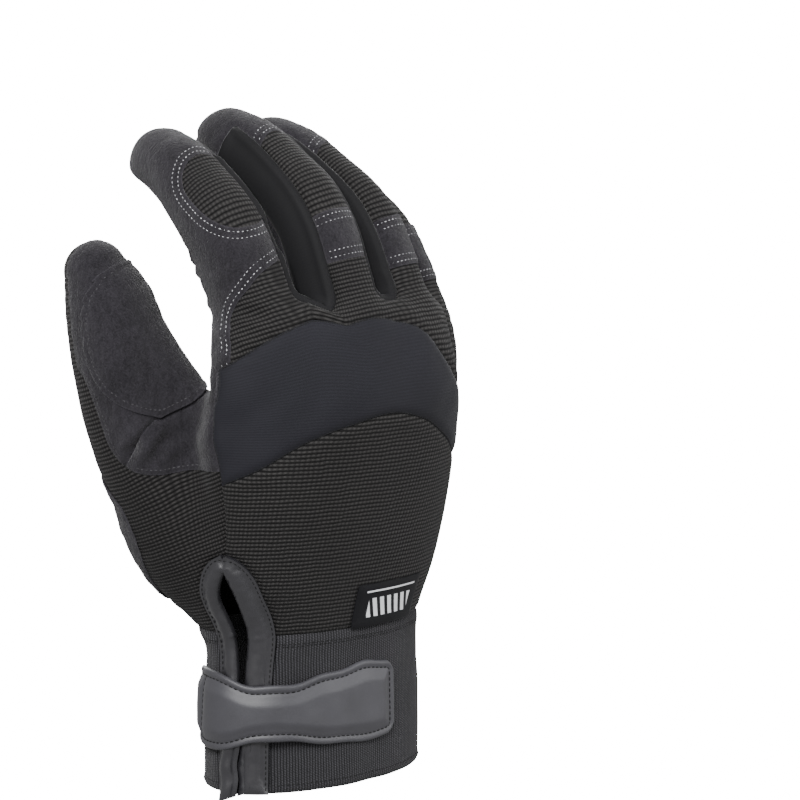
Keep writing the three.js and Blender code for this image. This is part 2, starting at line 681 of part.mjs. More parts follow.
const isFork = ({ x, y, z }) => {
  const finger = fingerAt(x);
  const outside = (finger === fingers[0] && x < finger.x) || (finger === fingers.at(-1) && x > finger.x);
  const end = { index: INDEX_FORK_END, little: LITTLE_FORK_END }[finger.name] ?? 2;
  const above = z > CROTCHES - FORK_START * PALM_LENGTH;
  return above && !outside && y > forkBack(finger) && y < forkFront(finger) && alongFinger({ x, z }) < end;
};

// Names of the piece that a place on the surface belongs to, and of the piece sewn on top of it
function pieceAt(point) {
  const { x, y, z } = point;
  if (z < 0) return null;
  const besideSlit = Math.abs(y - slitMiddle(z));
  if (x < 0 && z < SLIT_HEIGHT && besideSlit < slitOpen(z)) return null;
  if (x < 0 && z < BINDING_TOP && besideSlit < bindingReach(z)) return 'slit_binding';
  if (z < CUFF_HEIGHT) return 'cuff_band';
  const finger = fingerAt(x);
  if (onThumb(point) && foldHeight(point) > 0) {
    return thumbTurn(point) > THUMB_KNIT ? 'thumb_back' : 'thumb_front';
  }
  if (isFork(point)) {
    const next = x > finger.x ? finger : fingers[fingers.indexOf(finger) - 1];
    return `fourchette_${next.name}_${fingers[fingers.indexOf(next) + 1].name}`;
  }
  if (x < 0 && y > thumbBack(z)) {
    const knit = y > frontOf(FOLD.front) ? x < palmEdge(z) : z < heightOf(SADDLE);
    if (z < heightOf(THUMB_TOP) && knit) return 'thumb_back';
    return 'palm_panel';
  }
  if (y > 0) return 'palm_panel';
  if (z < bandEdge('low', x)) return 'back_panel';
  if (z < bandEdge('high', x)) return 'knuckle_band';
  if (finger.name === 'index') {
    if (z < indexEdge(x)) return 'upper_back_panel';
    return indexOval(point) < 0 ? 'index_back' : 'palm_panel';
  }
  const along = alongFinger(point);
  const patch = patchOf(x);
  if (along < patch.from) return 'upper_back_panel';
  if (along < patch.to) return `${finger.name}_knuckle_patch`;
  return knitEnd(point) < 0 ? `${finger.name}_back` : `${finger.name}_fingertip`;
}
function coverAt(point) {
  const { x, y, z } = point;
  const below = heightShare(z) > HEEL_EDGE[0].up && heightShare(z) < HEEL_EDGE.at(-1).up;
  if (below && y > heelEdge(z) && pieceAt(point) === 'thumb_back') return 'heel_patch';
  if (pieceAt(point) === 'thumb_front' && thumbOval(point) < 0) return 'thumb_patch';
  const labelled = x > sideOf(LABEL_SIDE) && x < sideOf(LABEL_SIDE) + LABEL_WIDTH && y < 0;
  if (labelled && z > CUFF_HEIGHT && z < CUFF_HEIGHT + LABEL_HEIGHT) return 'label';
  return null;
}

const nearHeel = (z) => heightShare(z) > HEEL_EDGE[0].up - 0.01 && heightShare(z) < HEEL_EDGE.at(-1).up + 0.01;
const onBack = ({ x, y, z }) => z > CUFF_HEIGHT && (x < 0 ? y < thumbBack(z) + 2 : y < 2);
const FINE_REACH = 1.4;
const nearSlit = ({ x, y, z }) =>
  x < 0 && z < BINDING_TOP + 2 && Math.abs(y - slitMiddle(z)) < FINE_REACH * BINDING_WIDTH;
const seams = [
  { value: ({ z }) => z, near: () => true },
  { value: ({ z }) => z - CUFF_HEIGHT, near: () => true },
  ...[-1, 1].flatMap((side) => [
    {
      value: ({ y, z }) => side * (y - slitMiddle(z)) - slitOpen(z),
      near: ({ x, z }) => x < 0 && z > -1 && z < SLIT_HEIGHT,
    },
    {
      value: ({ y, z }) => side * (y - slitMiddle(z)) - bindingReach(z),
      near: ({ x, z }) => x < 0 && z > -1 && z < BINDING_TOP,
    },
  ]),
  { value: ({ y }) => y, near: ({ x, z }) => z > CUFF_HEIGHT && x > (z > CROTCHES ? fingers.at(-1).x : 0) },
  {
    value: ({ y, z }) => y - thumbBack(z),
    near: (p) => p.x < 0 && p.z > CUFF_HEIGHT && p.z < heightOf(SIDE_SEAM_TOP) && !(onThumb(p) && foldHeight(p) > 0),
  },
  { value: ({ x, z }) => z - bandEdge('low', x), near: onBack },
  { value: ({ x, z }) => z - bandEdge('high', x), near: onBack },
  { value: ({ x, z }) => z - indexEdge(x), near: (p) => onBack(p) && p.x < fingers[0].right },
  { value: indexOval, near: ({ x, y }) => y < 0 && x < fingers[0].right },
  ...fingers.slice(1).flatMap((finger) => {
    const within = ({ x, y }) => y < (x > finger.x && finger.name === 'little' ? 1 : forkBack(finger) + 1);
    const here = (p) => within(p) && fingerAt(p.x) === finger;
    const patch = KNUCKLE_PATCHES[finger.name];
    return [
      { value: ({ z }) => z - finger.z - patch.from * finger.length, near: here },
      { value: ({ z }) => z - finger.z - patch.to * finger.length, near: here },
      { value: knitEnd, near: here },
    ];
  }),
  ...fingers.flatMap((finger, k) => {
    const inside = ({ x }) => (k > 0 || x > finger.x) && (k < fingers.length - 1 || x < finger.x);
    const here = (p) => fingerAt(p.x) === finger && inside(p) && p.z > CROTCHES - FORK_START * PALM_LENGTH;
    return [
      { value: ({ y }) => y - forkBack(finger), near: here },
      { value: ({ y }) => y - forkFront(finger), near: here },
    ];
  }),
  ...fingers.slice(1, -1).map((finger) => ({
    value: ({ x }) => x - finger.x,
    near: (p) => fingerAt(p.x) === finger && isFork(p) && alongFinger(p) > 0.5,
  })),
  {
    value: (p) => alongFinger(p) - INDEX_FORK_END,
    near: (p) => p.x < fingers[0].right && p.x > fingers[0].x && Math.abs(p.y) < fingers[0].halfDepth,
  },
  {
    value: (p) => alongFinger(p) - LITTLE_FORK_END,
    near: (p) => p.x > fingers.at(-1).left && p.x < fingers.at(-1).x && p.y > forkBack(fingers.at(-1)) - 1,
  },
  {
    value: ({ x }) => x - fingers.at(-1).x,
    near: (p) => p.x > fingers.at(-1).left && alongFinger(p) > LITTLE_FORK_END && p.y > forkBack(fingers.at(-1)) - 1,
  },
  { value: (p) => thumbTurn(p) - THUMB_KNIT, near: (p) => p.x < sideOf(THUMB_SIDE) && onThumb(p) && foldHeight(p) > -2 },
  { value: foldHeight, near: (p) => p.x < sideOf(THUMB_SIDE) && p.z < heightOf(FOLD_TOP) && thumbTurn(p) < THUMB_KNIT },
  {
    value: ({ z }) => z - heightOf(SADDLE),
    near: (p) => p.x < sideOf(THUMB_SIDE) && p.y < frontOf(FOLD.front) + 1 && p.y > thumbBack(p.z) - 1,
  },
  {
    value: ({ x, z }) => x - palmEdge(z),
    near: (p) => p.x < 0 && p.z > CUFF_HEIGHT && p.y > frontOf(FOLD.front) && foldHeight(p) < 2,
  },
  {
    value: ({ y, z }) => y - heelEdge(z),
    near: (p) => p.x < palmEdge(p.z) + 1 && nearHeel(p.z) && foldHeight(p) < 4,
  },
  { value: ({ z }) => z - heightOf(HEEL_EDGE[0].up), near: (p) => p.x < palmEdge(p.z) + 1 && p.y > heelEdge(p.z) - 1 },
  { value: thumbOval, near: (p) => onThumb(p) && foldHeight(p) > -1 && p.x < sideOf(THUMB_SIDE) },
  ...[0, LABEL_WIDTH].map((along) => ({
    value: ({ x }) => x - sideOf(LABEL_SIDE) - along,
    near: ({ y, z }) => y < 0 && z > CUFF_HEIGHT - 1 && z < CUFF_HEIGHT + LABEL_HEIGHT + 1,
  })),
  {
    value: ({ z }) => z - CUFF_HEIGHT - LABEL_HEIGHT,
    near: ({ x, y }) => y < 0 && x > sideOf(LABEL_SIDE) - 1 && x < sideOf(LABEL_SIDE) + LABEL_WIDTH + 1,
  },
];

// A closed solid from the faces of one piece: its outer side is drawn in from the seams by half the
// gap, and its inner side lies one wall deeper.
function sewnPiece(surface, faces, { wall, rise = 0 }) {
  const { placed, normals } = surface;
  const key = (a, b) => `${a},${b}`;
  const twin = new Map(faces.flatMap((face, f) => face.map((v, n) => [key(v, face[(n + 1) % 3]), [f, n]])));
  // Corners that meet through shared edges are one point of the piece; others stay apart.
  const group = faces.flatMap((_, f) => [3 * f, 3 * f + 1, 3 * f + 2]);
  const rootOf = (corner) => (group[corner] === corner ? corner : rootOf(group[corner]));
  const join = (a, b) => {
    group[rootOf(a)] = rootOf(b);
  };
  const borders = [];
  faces.forEach((face, f) => {
    face.forEach((a, n) => {
      const b = face[(n + 1) % 3];
      const other = twin.get(key(b, a));
      if (other === undefined) {
        borders.push([f, n]);
        return;
      }
      const [g, m] = other;
      join(3 * f + n, 3 * g + ((m + 1) % 3));
      join(3 * f + ((n + 1) % 3), 3 * g + m);
    });
  });
  // The least height of the triangles round each point limits how far a seam can draw it in.
  const room = new Map();
  faces.forEach((face, f) => {
    const [a, b, c] = face.map((v) => placed[v]);
    const area = b.clone().sub(a).cross(c.clone().sub(a)).length();
    const height = area / Math.max(a.distanceTo(b), b.distanceTo(c), c.distanceTo(a));
    for (const n of [0, 1, 2]) {
      const root = rootOf(3 * f + n);
      room.set(root, Math.min(room.get(root) ?? Infinity, ROOM_SHARE * height));
    }
  });
  const inward = new Map();
  for (const [f, n] of borders) {
    const [a, b, c] = [0, 1, 2].map((step) => faces[f][(n + step) % 3]);
    const along = placed[b].clone().sub(placed[a]).normalize();
    const across = placed[c].clone().sub(placed[a]);
    across.addScaledVector(along, -across.dot(along)).normalize();
    if (!surface.neighbours.has(key(b, a))) continue;
    for (const step of [0, 1]) {
      const root = rootOf(3 * f + ((n + step) % 3));
      inward.set(root, [...(inward.get(root) ?? []), across]);
    }
  }
  const order = new Map();
  const outer = [];
  const inner = [];
  const vertex = (f, n) => {
    const root = rootOf(3 * f + n);
    if (!order.has(root)) {
      const v = faces[f][n];
      order.set(root, outer.length);
      const sides = inward.get(root) ?? [];
      const shift = sides.reduce((sum, side) => sum.add(side), new THREE.Vector3());
      if (sides.length) shift.multiplyScalar(SEAM_GAP / Math.max(shift.lengthSq(), 0.8));
      shift.clampLength(0, room.get(root));
      const place = placed[v].clone().add(shift);
      outer.push(place.clone().addScaledVector(normals[v], rise));
      inner.push(place.clone().addScaledVector(normals[v], Math.max(rise - wall, -surface.depths[v])));
    }
    return order.get(root);
  };
  const corners = [];
  const sides = faces.map((face, f) => face.map((_, n) => vertex(f, n)));
  const count = outer.length;
  for (const [a, b, c] of sides) corners.push(a, b, c, c + count, b + count, a + count);
  for (const [f, n] of borders) {
    const a = vertex(f, n);
    const b = vertex(f, (n + 1) % 3);
    corners.push(b, a, a + count, b, a + count, b + count);
  }
  return solidFrom([...outer, ...inner], corners);
}

const ROOM_SHARE = 0.35;
function solidFrom(points, corners) {
  const geometry = new THREE.BufferGeometry();
  geometry.setAttribute('position', new THREE.Float32BufferAttribute(points.flatMap((p) => [p.x, p.y, p.z]), 3));
  geometry.setIndex(corners);
  geometry.computeVertexNormals();
  return geometry;
}

// Faces that a seam left alone, without a neighbour of their own piece, go to the piece beside them.
function tidyNames(faces, names) {
  const beside = new Map();
  faces.forEach((face, f) => face.forEach((v, n) => beside.set(`${v},${face[(n + 1) % 3]}`, f)));
  const around = faces.map((face) => face.map((v, n) => beside.get(`${face[(n + 1) % 3]},${v}`)));
  for (let turn = 0; turn < 4; turn += 1) {
    names.forEach((name, f) => {
      const others = around[f].filter((other) => other !== undefined).map((other) => names[other]);
      if (name === null || others.filter((other) => other === name).length > 0) return;
      names[f] = others.find((other) => other !== null) ?? name;
    });
  }
  const group = faces.map(() => -1);
  const groups = [];
  faces.forEach((_, start) => {
    if (group[start] >= 0) return;
    const members = [start];
    group[start] = groups.length;
    for (const f of members) {
      for (const other of around[f]) {
        if (other === undefined || group[other] >= 0 || names[other] !== names[f]) continue;
        group[other] = groups.length;
        members.push(other);
      }
    }
    groups.push(members);
  });
  const largest = {};
  groups.forEach((members) => {
    const name = names[members[0]];
    largest[name] = Math.max(largest[name] ?? 0, members.length);
  });
  for (const members of groups) {
    const own = names[members[0]];
    if (own === null || members.length === largest[own]) continue;
    const outside = members.flatMap((f) => around[f]).find((other) => other !== undefined && !members.includes(other));
    const name = outside === undefined ? null : names[outside];
    members.forEach((f) => {
      names[f] = name;
    });
  }
}

const surface = { ...shellSurface(), sewn: new Set() };
refine(surface, nearSlit, SLIT_STEP);
for (const seam of seams) cutAlong(surface, seam);
surface.placed = surface.points.map(posed);
surface.normals = surface.points.map(() => new THREE.Vector3());
surface.neighbours = new Set();
// A narrow ridge, such as the web beside the thumb, is too thin for the full wall on both of its sides.
const DEEPEST = Math.max(WALL, BAND_WALL);
surface.depths = surface.points.map((point) => {
  const below = point.clone().addScaledVector(slopeAt(point).normalize(), -DEEPEST);
  return clamp(-1.1 * gloveDistance(below), 0.4 * WALL, DEEPEST);
});
for (const face of surface.faces) {
  const [a, b, c] = face.map((v) => surface.placed[v]);
  const area = b.clone().sub(a).cross(c.clone().sub(a));
  face.forEach((v, n) => {
    surface.normals[v].add(area);
    surface.neighbours.add(`${v},${face[(n + 1) % 3]}`);
  });
}
surface.normals.forEach((normal) => normal.normalize());

const centres = surface.faces.map((face) =>
  face.reduce((sum, v) => sum.addScaledVector(surface.points[v], 1 / 3), new THREE.Vector3()),
);
const pieceNames = centres.map(pieceAt);
tidyNames(surface.faces, pieceNames);
const coverNames = centres.map(coverAt);
tidyNames(surface.faces, coverNames);

// Cloths: colour, roughness and thickness, and how far a piece stands above its neighbours
const KNIT = { colour: 0x2b2a2e, roughness: 0.9, wall: WALL };
const SUEDE = { colour: 0x3a383d, roughness: 0.95, wall: WALL };
const SMOOTH_KNIT = { colour: 0x2f3133, roughness: 0.8, wall: WALL };
const COATED = { colour: 0x26262a, roughness: 0.45, wall: WALL };
const PIECES = {
  cuff_band: { ...KNIT, colour: 0x242326 },
  back_panel: KNIT,
  knuckle_band: { ...SMOOTH_KNIT, colour: 0x22242f, wall: BAND_WALL },
  upper_back_panel: KNIT,
  index_back: KNIT,
  middle_back: KNIT,
  ring_back: KNIT,
  little_back: KNIT,
  middle_knuckle_patch: SUEDE,
  ring_knuckle_patch: SUEDE,
  little_knuckle_patch: SUEDE,
  middle_fingertip: SUEDE,
  ring_fingertip: SUEDE,
  fourchette_index_middle: SMOOTH_KNIT,
  fourchette_middle_ring: SMOOTH_KNIT,
  fourchette_ring_little: SMOOTH_KNIT,
  palm_panel: SUEDE,
  thumb_front: SUEDE,
  thumb_back: KNIT,
  slit_binding: { ...COATED, wall: WALL + BINDING_RISE, rise: BINDING_RISE },
};
const COVERS = {
  heel_patch: { ...SUEDE, wall: PATCH_WALL, rise: PATCH_WALL + SEAM_GAP },
  thumb_patch: { ...SUEDE, wall: PATCH_WALL, rise: PATCH_WALL + SEAM_GAP },
  label: { ...COATED, wall: LABEL_WALL, rise: LABEL_WALL + SEAM_GAP },
};

// Where two walls meet in a tight fold, the later piece is cut back from the earlier one.
const LEAST_SHARED = 0.001;
const SMALLEST_EDGE = 0.02;
const placedSolids = [];
function cutBack(geometry) {
  const vertProperties = new Float32Array(geometry.attributes.position.array);
  const triVerts = new Uint32Array(geometry.index.array);
  let solid = solids.Manifold.ofMesh(new solids.Mesh({ numProp: 3, vertProperties, triVerts }));
  let result = geometry;
  for (const other of placedSolids) {
    if (solid.intersect(other).volume() < LEAST_SHARED) continue;
    const parts = solid.subtract(other).simplify(SMALLEST_EDGE).decompose();
    solid = parts.reduce((most, part) => (part.volume() > most.volume() ? part : most));
    const mesh = solid.getMesh();
    const points = Array.from({ length: mesh.numVert }, (_, v) =>
      new THREE.Vector3().fromArray(mesh.vertProperties, v * mesh.numProp),
    );
    result = solidFrom(points, [...mesh.triVerts]);
  }
  placedSolids.push(solid);
  return result;
}

const glove = new THREE.Group();
function addPiece(name, shape, cloth) {
  const geometry = cutBack(shape);
  const material = new THREE.MeshStandardMaterial({ color: cloth.colour, roughness: cloth.roughness, metalness: 0 });
  const mesh = new THREE.Mesh(geometry, material);
  mesh.name = name;
  glove.add(mesh);
}
for (const [table, names] of [[PIECES, pieceNames], [COVERS, coverNames]]) {
  for (const [name, cloth] of Object.entries(table)) {
    const faces = surface.faces.filter((_, f) => names[f] === name);
    addPiece(name, sewnPiece(surface, faces, cloth), cloth);
  }
}

// The strap closes the cuff over its slit: a strip laid round the cuff that rises over the binding.
const STRAP_MIDDLE = 0.52;
const STRAP_START = degToRad(145);
const STRAP_ROWS = [
  { along: 0, width: 0.66, lift: 0 },
  { along: 0.04, width: 0.9, lift: 0 },
  { along: 0.1, width: 1, lift: 0 },
  { along: 0.2, width: 1, lift: 0.5 },
  { along: 0.27, width: 0.95, lift: 0.9 },
  { along: 0.37, width: 0.72, lift: 1 },
  { along: 0.48, width: 0.7, lift: 1 },
  { along: 0.62, width: 0.9, lift: 0.3 },
  { along: 0.74, width: 0.97, lift: 0 },
  { along: 0.95, width: 0.99, lift: 0 },
  { along: 1, width: 0.84, lift: 0 },
];
const STRAP_STEPS = 28;
const STRAP_LINES = 3;
const STRAP_LIFT = 2.2;
function cuffPlace(turn, z, away) {
  const column = (name) => columnAt(handRows, 'z', name, z);
  const wide = Math.cos(turn) < 0 ? column('thumbSide') : column('littleSide');
  const deep = Math.sin(turn) < 0 ? column('back') : column('front');
  const power = 2 / CUFF_POWER;
  const bent = (value) => Math.sign(value) * Math.pow(Math.abs(value), power);
  const place = new THREE.Vector3(wide * bent(Math.cos(turn)), deep * bent(Math.sin(turn)), z);
  const outward = new THREE.Vector3(Math.cos(turn) / wide, Math.sin(turn) / deep, 0).normalize();
  return posed(place.addScaledVector(outward, away));
}
function strapTurns() {
  const fine = 400;
  const full = degToRad(220);
  let length = 0;
  const line = [{ length, turn: STRAP_START }];
  for (let k = 1; k <= fine; k += 1) {
    const turn = STRAP_START + (full * k) / fine;
    length += cuffPlace(turn, STRAP_MIDDLE * CUFF_HEIGHT, 0).distanceTo(
      cuffPlace(line.at(-1).turn, STRAP_MIDDLE * CUFF_HEIGHT, 0),
    );
    line.push({ length, turn });
  }
  return line;
}
const turnsOfStrap = strapTurns();
function strapGeometry() {
  const points = [];
  const corners = [];
  const row = 2 * (STRAP_LINES + 1);
  for (let k = 0; k <= STRAP_STEPS; k += 1) {
    const along = k / STRAP_STEPS;
    const turn = turnsOfStrap.find((node) => node.length >= along * STRAP_LENGTH - 1e-9).turn;
    const half = (STRAP_WIDTH * columnAt(STRAP_ROWS, 'along', 'width', along)) / 2;
    const lift = SEAM_GAP + STRAP_LIFT * Math.max(columnAt(STRAP_ROWS, 'along', 'lift', along), 0);
    for (const away of [lift + STRAP_WALL, lift]) {
      for (let n = 0; n <= STRAP_LINES; n += 1) {
        const z = STRAP_MIDDLE * CUFF_HEIGHT + lerp(-half, half, n / STRAP_LINES);
        points.push(cuffPlace(turn, z, away));
      }
    }
  }
  const quad = (a, b, c, d) => corners.push(a, b, c, a, c, d);
  for (let k = 0; k < STRAP_STEPS; k += 1) {
    const here = k * row;
    const next = here + row;
    for (let n = 0; n < STRAP_LINES; n += 1) {
      quad(here + n, next + n, next + n + 1, here + n + 1);
      const m = n + STRAP_LINES + 1;
      quad(here + m, here + m + 1, next + m + 1, next + m);
    }
    const top = STRAP_LINES;
    const low = STRAP_LINES + 1;
    quad(here, here + low, next + low, next);
    quad(here + top, next + top, next + top + low, here + top + low);
  }
  for (const [start, flip] of [[0, false], [STRAP_STEPS * row, true]]) {
    for (let n = 0; n < STRAP_LINES; n += 1) {
      const m = n + STRAP_LINES + 1;
      if (flip) quad(start + n, start + m, start + m + 1, start + n + 1);
      else quad(start + n, start + n + 1, start + m + 1, start + m);
    }
  }
  return solidFrom(points, corners);
}
addPiece('wrist_strap', strapGeometry(), COATED);

export default glove;
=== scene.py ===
import math

import bpy
import numpy as np
from mathutils import Matrix, Vector
from mathutils.kdtree import KDTree


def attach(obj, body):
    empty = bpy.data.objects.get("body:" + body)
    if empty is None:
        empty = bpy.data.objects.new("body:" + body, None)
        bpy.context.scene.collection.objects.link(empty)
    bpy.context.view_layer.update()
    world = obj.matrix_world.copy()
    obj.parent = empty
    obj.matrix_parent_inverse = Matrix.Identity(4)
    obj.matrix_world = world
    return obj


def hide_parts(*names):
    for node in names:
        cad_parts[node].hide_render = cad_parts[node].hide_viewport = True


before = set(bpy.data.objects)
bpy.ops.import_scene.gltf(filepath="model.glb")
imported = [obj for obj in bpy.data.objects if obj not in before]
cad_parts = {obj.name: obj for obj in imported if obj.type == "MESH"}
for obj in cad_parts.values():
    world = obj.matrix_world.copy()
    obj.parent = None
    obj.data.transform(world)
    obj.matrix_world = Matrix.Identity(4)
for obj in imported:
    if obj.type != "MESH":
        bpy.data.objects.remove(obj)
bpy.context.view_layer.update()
scene = bpy.context.scene

# Camera at the photograph's place for the view of the glove's back.
CAMERA_AZIMUTH = math.radians(-40.07)
CAMERA_HEIGHT = math.radians(7.42)
back = Vector((
    math.sin(CAMERA_AZIMUTH) * math.cos(CAMERA_HEIGHT),
    -math.cos(CAMERA_AZIMUTH) * math.cos(CAMERA_HEIGHT),
    math.sin(CAMERA_HEIGHT),
))
right = Vector((math.cos(CAMERA_AZIMUTH), math.sin(CAMERA_AZIMUTH), 0))
camera = bpy.data.objects.new("camera", bpy.data.cameras.new("camera"))
axes = Matrix((right, back.cross(right), back)).transposed() @ Matrix.Rotation(math.radians(-0.29), 3, "Z")
camera.matrix_world = Matrix.Translation(Vector((0, 0, 0.115)) + 0.9 * back) @ axes.to_4x4()
camera.data.lens = 127.6
camera.data.sensor_width = 36
camera.data.shift_x = 0.111
camera.data.shift_y = 0.019
scene.collection.objects.link(camera)
scene.camera = camera

# The form of the worn glove, in millimetres, as in the CAD model: one smooth body with straight
# fingers in a flat frame, which is arched over the knuckles and bent at the joints afterwards.
CUFF_HEIGHT, CUFF_WIDTH, CUFF_DEPTH = 50, 80.5, 46
PALM_LENGTH, PALM_WIDTH, PALM_DEPTH = 102, 104, 40
FINGER_LENGTH, FINGER_WIDTH, FINGER_DEPTH, FINGER_SPACE = 98, 25, 27.5, 1.1
THUMB_LENGTH, THUMB_WIDTH = 100, 31
KNUCKLE_ARCH, LITTLE_ARCH, ARCH_PEAK = 85, 52, -6
HAND_LEAN, HAND_SWAY = 22.3, 8
CUFF_POWER, PALM_POWER = 2.1, 2.5
KNUCKLES = CUFF_HEIGHT + 0.82 * PALM_LENGTH
CROTCHES = CUFF_HEIGHT + PALM_LENGTH


def table(columns, *rows):
    return dict(zip(columns.split(), np.array(rows, float).T))


HAND = table(
    "cuff palm blend thumb_side little_side back front",
    (-0.2, 0, 0, 1, 1, 1, 1),
    (0.5, 0, 0, 0.99, 0.99, 0.98, 0.98),
    (1, 0, 0, 0.97, 0.98, 0.97, 0.97),
    (1, 0.15, 0.3, 1.01, 1, 1, 1.04),
    (1, 0.34, 0.7, 1.02, 0.95, 0.98, 1.1),
    (1, 0.53, 1, 1.07, 0.885, 0.94, 1.06),
    (1, 0.7, 1, 1.165, 0.855, 0.88, 0.96),
    (1, 0.85, 1, 1.11, 0.85, 0.78, 0.84),
    (1, 1.05, 1, 0.95, 0.84, 0.62, 0.66),
)
HAND["z"] = HAND["cuff"] * CUFF_HEIGHT + HAND["palm"] * PALM_LENGTH
for side in ("thumb_side", "little_side"):
    HAND[side] *= (CUFF_WIDTH + (PALM_WIDTH - CUFF_WIDTH) * HAND["blend"]) / 2
for side in ("back", "front"):
    HAND[side] *= (CUFF_DEPTH + (PALM_DEPTH - CUFF_DEPTH) * HAND["blend"]) / 2
FINGER_SECTIONS = table(
    "along width depth",
    (-0.4, 0.9, 0.9),
    (0, 0.98, 1),
    (0.3, 1, 1),
    (0.48, 0.99, 0.98),
    (0.62, 0.95, 0.93),
    (0.78, 0.92, 0.9),
    (0.9, 0.86, 0.84),
)
THUMB = table(
    "rise out front radius",
    (-0.04, 0.26, 0.2, 0.54),
    (0.13, 0.4, 0.42, 0.62),
    (0.31, 0.54, 0.56, 0.565),
    (0.5, 0.622, 0.6, 0.525),
    (0.69, 0.668, 0.62, 0.49),
    (0.83, 0.695, 0.66, 0.44),
    (0.95, 0.73, 0.72, 0.31),
)
JOINTS = table("along spread", (0, 0.34), (0.47, 0.3), (0.76, 0.22))


class Finger:
    def __init__(self, name, left, knuckle, length, width, splay, turn, bends):
        self.name, self.left, self.right = name, left, left + width * FINGER_WIDTH + FINGER_SPACE
        self.x, self.z = (self.left + self.right) / 2, CUFF_HEIGHT + knuckle * PALM_LENGTH
        self.length = length * FINGER_LENGTH
        self.half_width, self.half_depth = width * FINGER_WIDTH / 2, width * FINGER_DEPTH / 2
        self.splay, self.turn, self.bends = math.radians(splay), math.radians(turn), np.radians(bends)


FINGERS = []
left = -(3.89 * FINGER_WIDTH + 4 * FINGER_SPACE) / 2
for name, *sizes in (
    ("index", 0.824, 0.93, 1, -12, 15, (16, 34, 23)),
    ("middle", 0.826, 1, 1, -4, 10, (17, 35, 18)),
    ("ring", 0.831, 0.96, 0.97, 1.5, -2.5, (22, 31, 12)),
    ("little", 0.836, 0.82, 0.92, 4, -22, (25, 26, 15)),
):
    FINGERS.append(Finger(name, left, *sizes))
    left = FINGERS[-1].right
INDEX, MIDDLE, RING, LITTLE = FINGERS


def column(rows, key, name, at):
    """Smooth curve through a table's rows."""
    keys, values = rows[key], rows[name]
    slopes = np.empty_like(values)
    slopes[1:-1] = (values[2:] - values[:-2]) / (keys[2:] - keys[:-2])
    slopes[0] = (values[1] - values[0]) / (keys[1] - keys[0])
    slopes[-1] = (values[-1] - values[-2]) / (keys[-1] - keys[-2])
    at = np.clip(at, keys[0], keys[-1])
    k = np.clip(np.searchsorted(keys, at) - 1, 0, len(keys) - 2)
    span = keys[k + 1] - keys[k]
    t = (at - keys[k]) / span
    rise = 3 * t**2 - 2 * t**3
    bend = slopes[k] * (t**3 - 2 * t**2 + t) + slopes[k + 1] * (t**3 - t**2)
    return values[k] * (1 - rise) + values[k + 1] * rise + span * bend


def smooth_min(a, b, reach):
    h = np.maximum(reach - np.abs(a - b), 0) / reach
    return np.minimum(a, b) - h * h * reach / 4


def step(value, low, high):
    t = np.clip((value - low) / (high - low), 0, 1)
    return t * t * (3 - 2 * t)


def mix(a, b, share):
    return a + (b - a) * share


def half_sizes(on_thumb_side, on_back, z):
    """Half the hand's width and depth at a height, on the sides that are asked for."""
    wide = np.where(on_thumb_side, column(HAND, "z", "thumb_side", z), column(HAND, "z", "little_side", z))
    deep = np.where(on_back, column(HAND, "z", "back", z), column(HAND, "z", "front", z))
    return wide, deep


def hand_distance(x, y, z):
    wide, deep = half_sizes(x < 0, y < 0, z)
    power = mix(CUFF_POWER, PALM_POWER, step(z, CUFF_HEIGHT, KNUCKLES))
    u, v = np.abs(x) / wide, np.abs(y) / deep
    r = np.maximum((u**power + v**power) ** (1 / power), 1e-6)
    slope = np.hypot((u / r) ** (power - 1) / wide, (v / r) ** (power - 1) / deep)
    oval = np.where(r < 0.15, -np.minimum(wide, deep) * (1 - r), (r - 1) / np.maximum(slope, 1e-6))
    drop = 0.02 * PALM_LENGTH * step(x, 0, PALM_WIDTH / 2) - 0.2 * y
    return -smooth_min(-oval, -(z - CROTCHES + drop), 6)


def finger_distance(finger, x, y, z):
    s = z - finger.z
    wide = finger.half_width * column(FINGER_SECTIONS, "along", "width", s / finger.length)
    deep = finger.half_depth * column(FINGER_SECTIONS, "along", "depth", s / finger.length)
    cap = 0.13 * finger.length
    beyond = np.maximum(s - (finger.length - cap), 0) / cap
    u, v = (x - finger.x) / wide, y / deep
    r = np.sqrt(u**2 + v**2 + beyond**2)
    slope = np.sqrt((u / wide) ** 2 + (v / deep) ** 2 + (beyond / cap) ** 2) / np.maximum(r, 0.2)
    return np.maximum((r - 1) / np.maximum(slope, 0.5 / finger.half_width), -0.35 * finger.length - s)


THUMB_STEPS = 24
thumb_rise = np.linspace(-0.04, 0.95, THUMB_STEPS + 1)
THUMB_LINE = np.column_stack((
    -PALM_WIDTH * column(THUMB, "rise", "out", thumb_rise),
    PALM_DEPTH * column(THUMB, "rise", "front", thumb_rise),
    CUFF_HEIGHT + 0.17 * PALM_LENGTH + THUMB_LENGTH * thumb_rise,
))
THUMB_RADIUS = THUMB_WIDTH * column(THUMB, "rise", "radius", thumb_rise)


def thumb_nearest(points):
    """Distance to the thumb, the nearest place on its middle line and how far along that is."""
    best = np.full(len(points), 1e9)
    centre, place = np.zeros((len(points), 3)), np.zeros(len(points))
    for k in range(THUMB_STEPS):
        start, run = THUMB_LINE[k], THUMB_LINE[k + 1] - THUMB_LINE[k]
        t = np.clip((points - start) @ run / (run @ run), 0, 1)
        at = start + t[:, None] * run
        away = np.linalg.norm(points - at, axis=1) - mix(THUMB_RADIUS[k], THUMB_RADIUS[k + 1], t)
        nearer = away < best
        best[nearer], centre[nearer], place[nearer] = away[nearer], at[nearer], (k + t[nearer]) / THUMB_STEPS
    return best, centre, place


def fist_distance(points):
    x, y, z = points.T
    hand = hand_distance(x, y, z)
    fingers = [smooth_min(hand, finger_distance(finger, x, y, z), 5) for finger in FINGERS]
    return np.minimum.reduce(fingers)


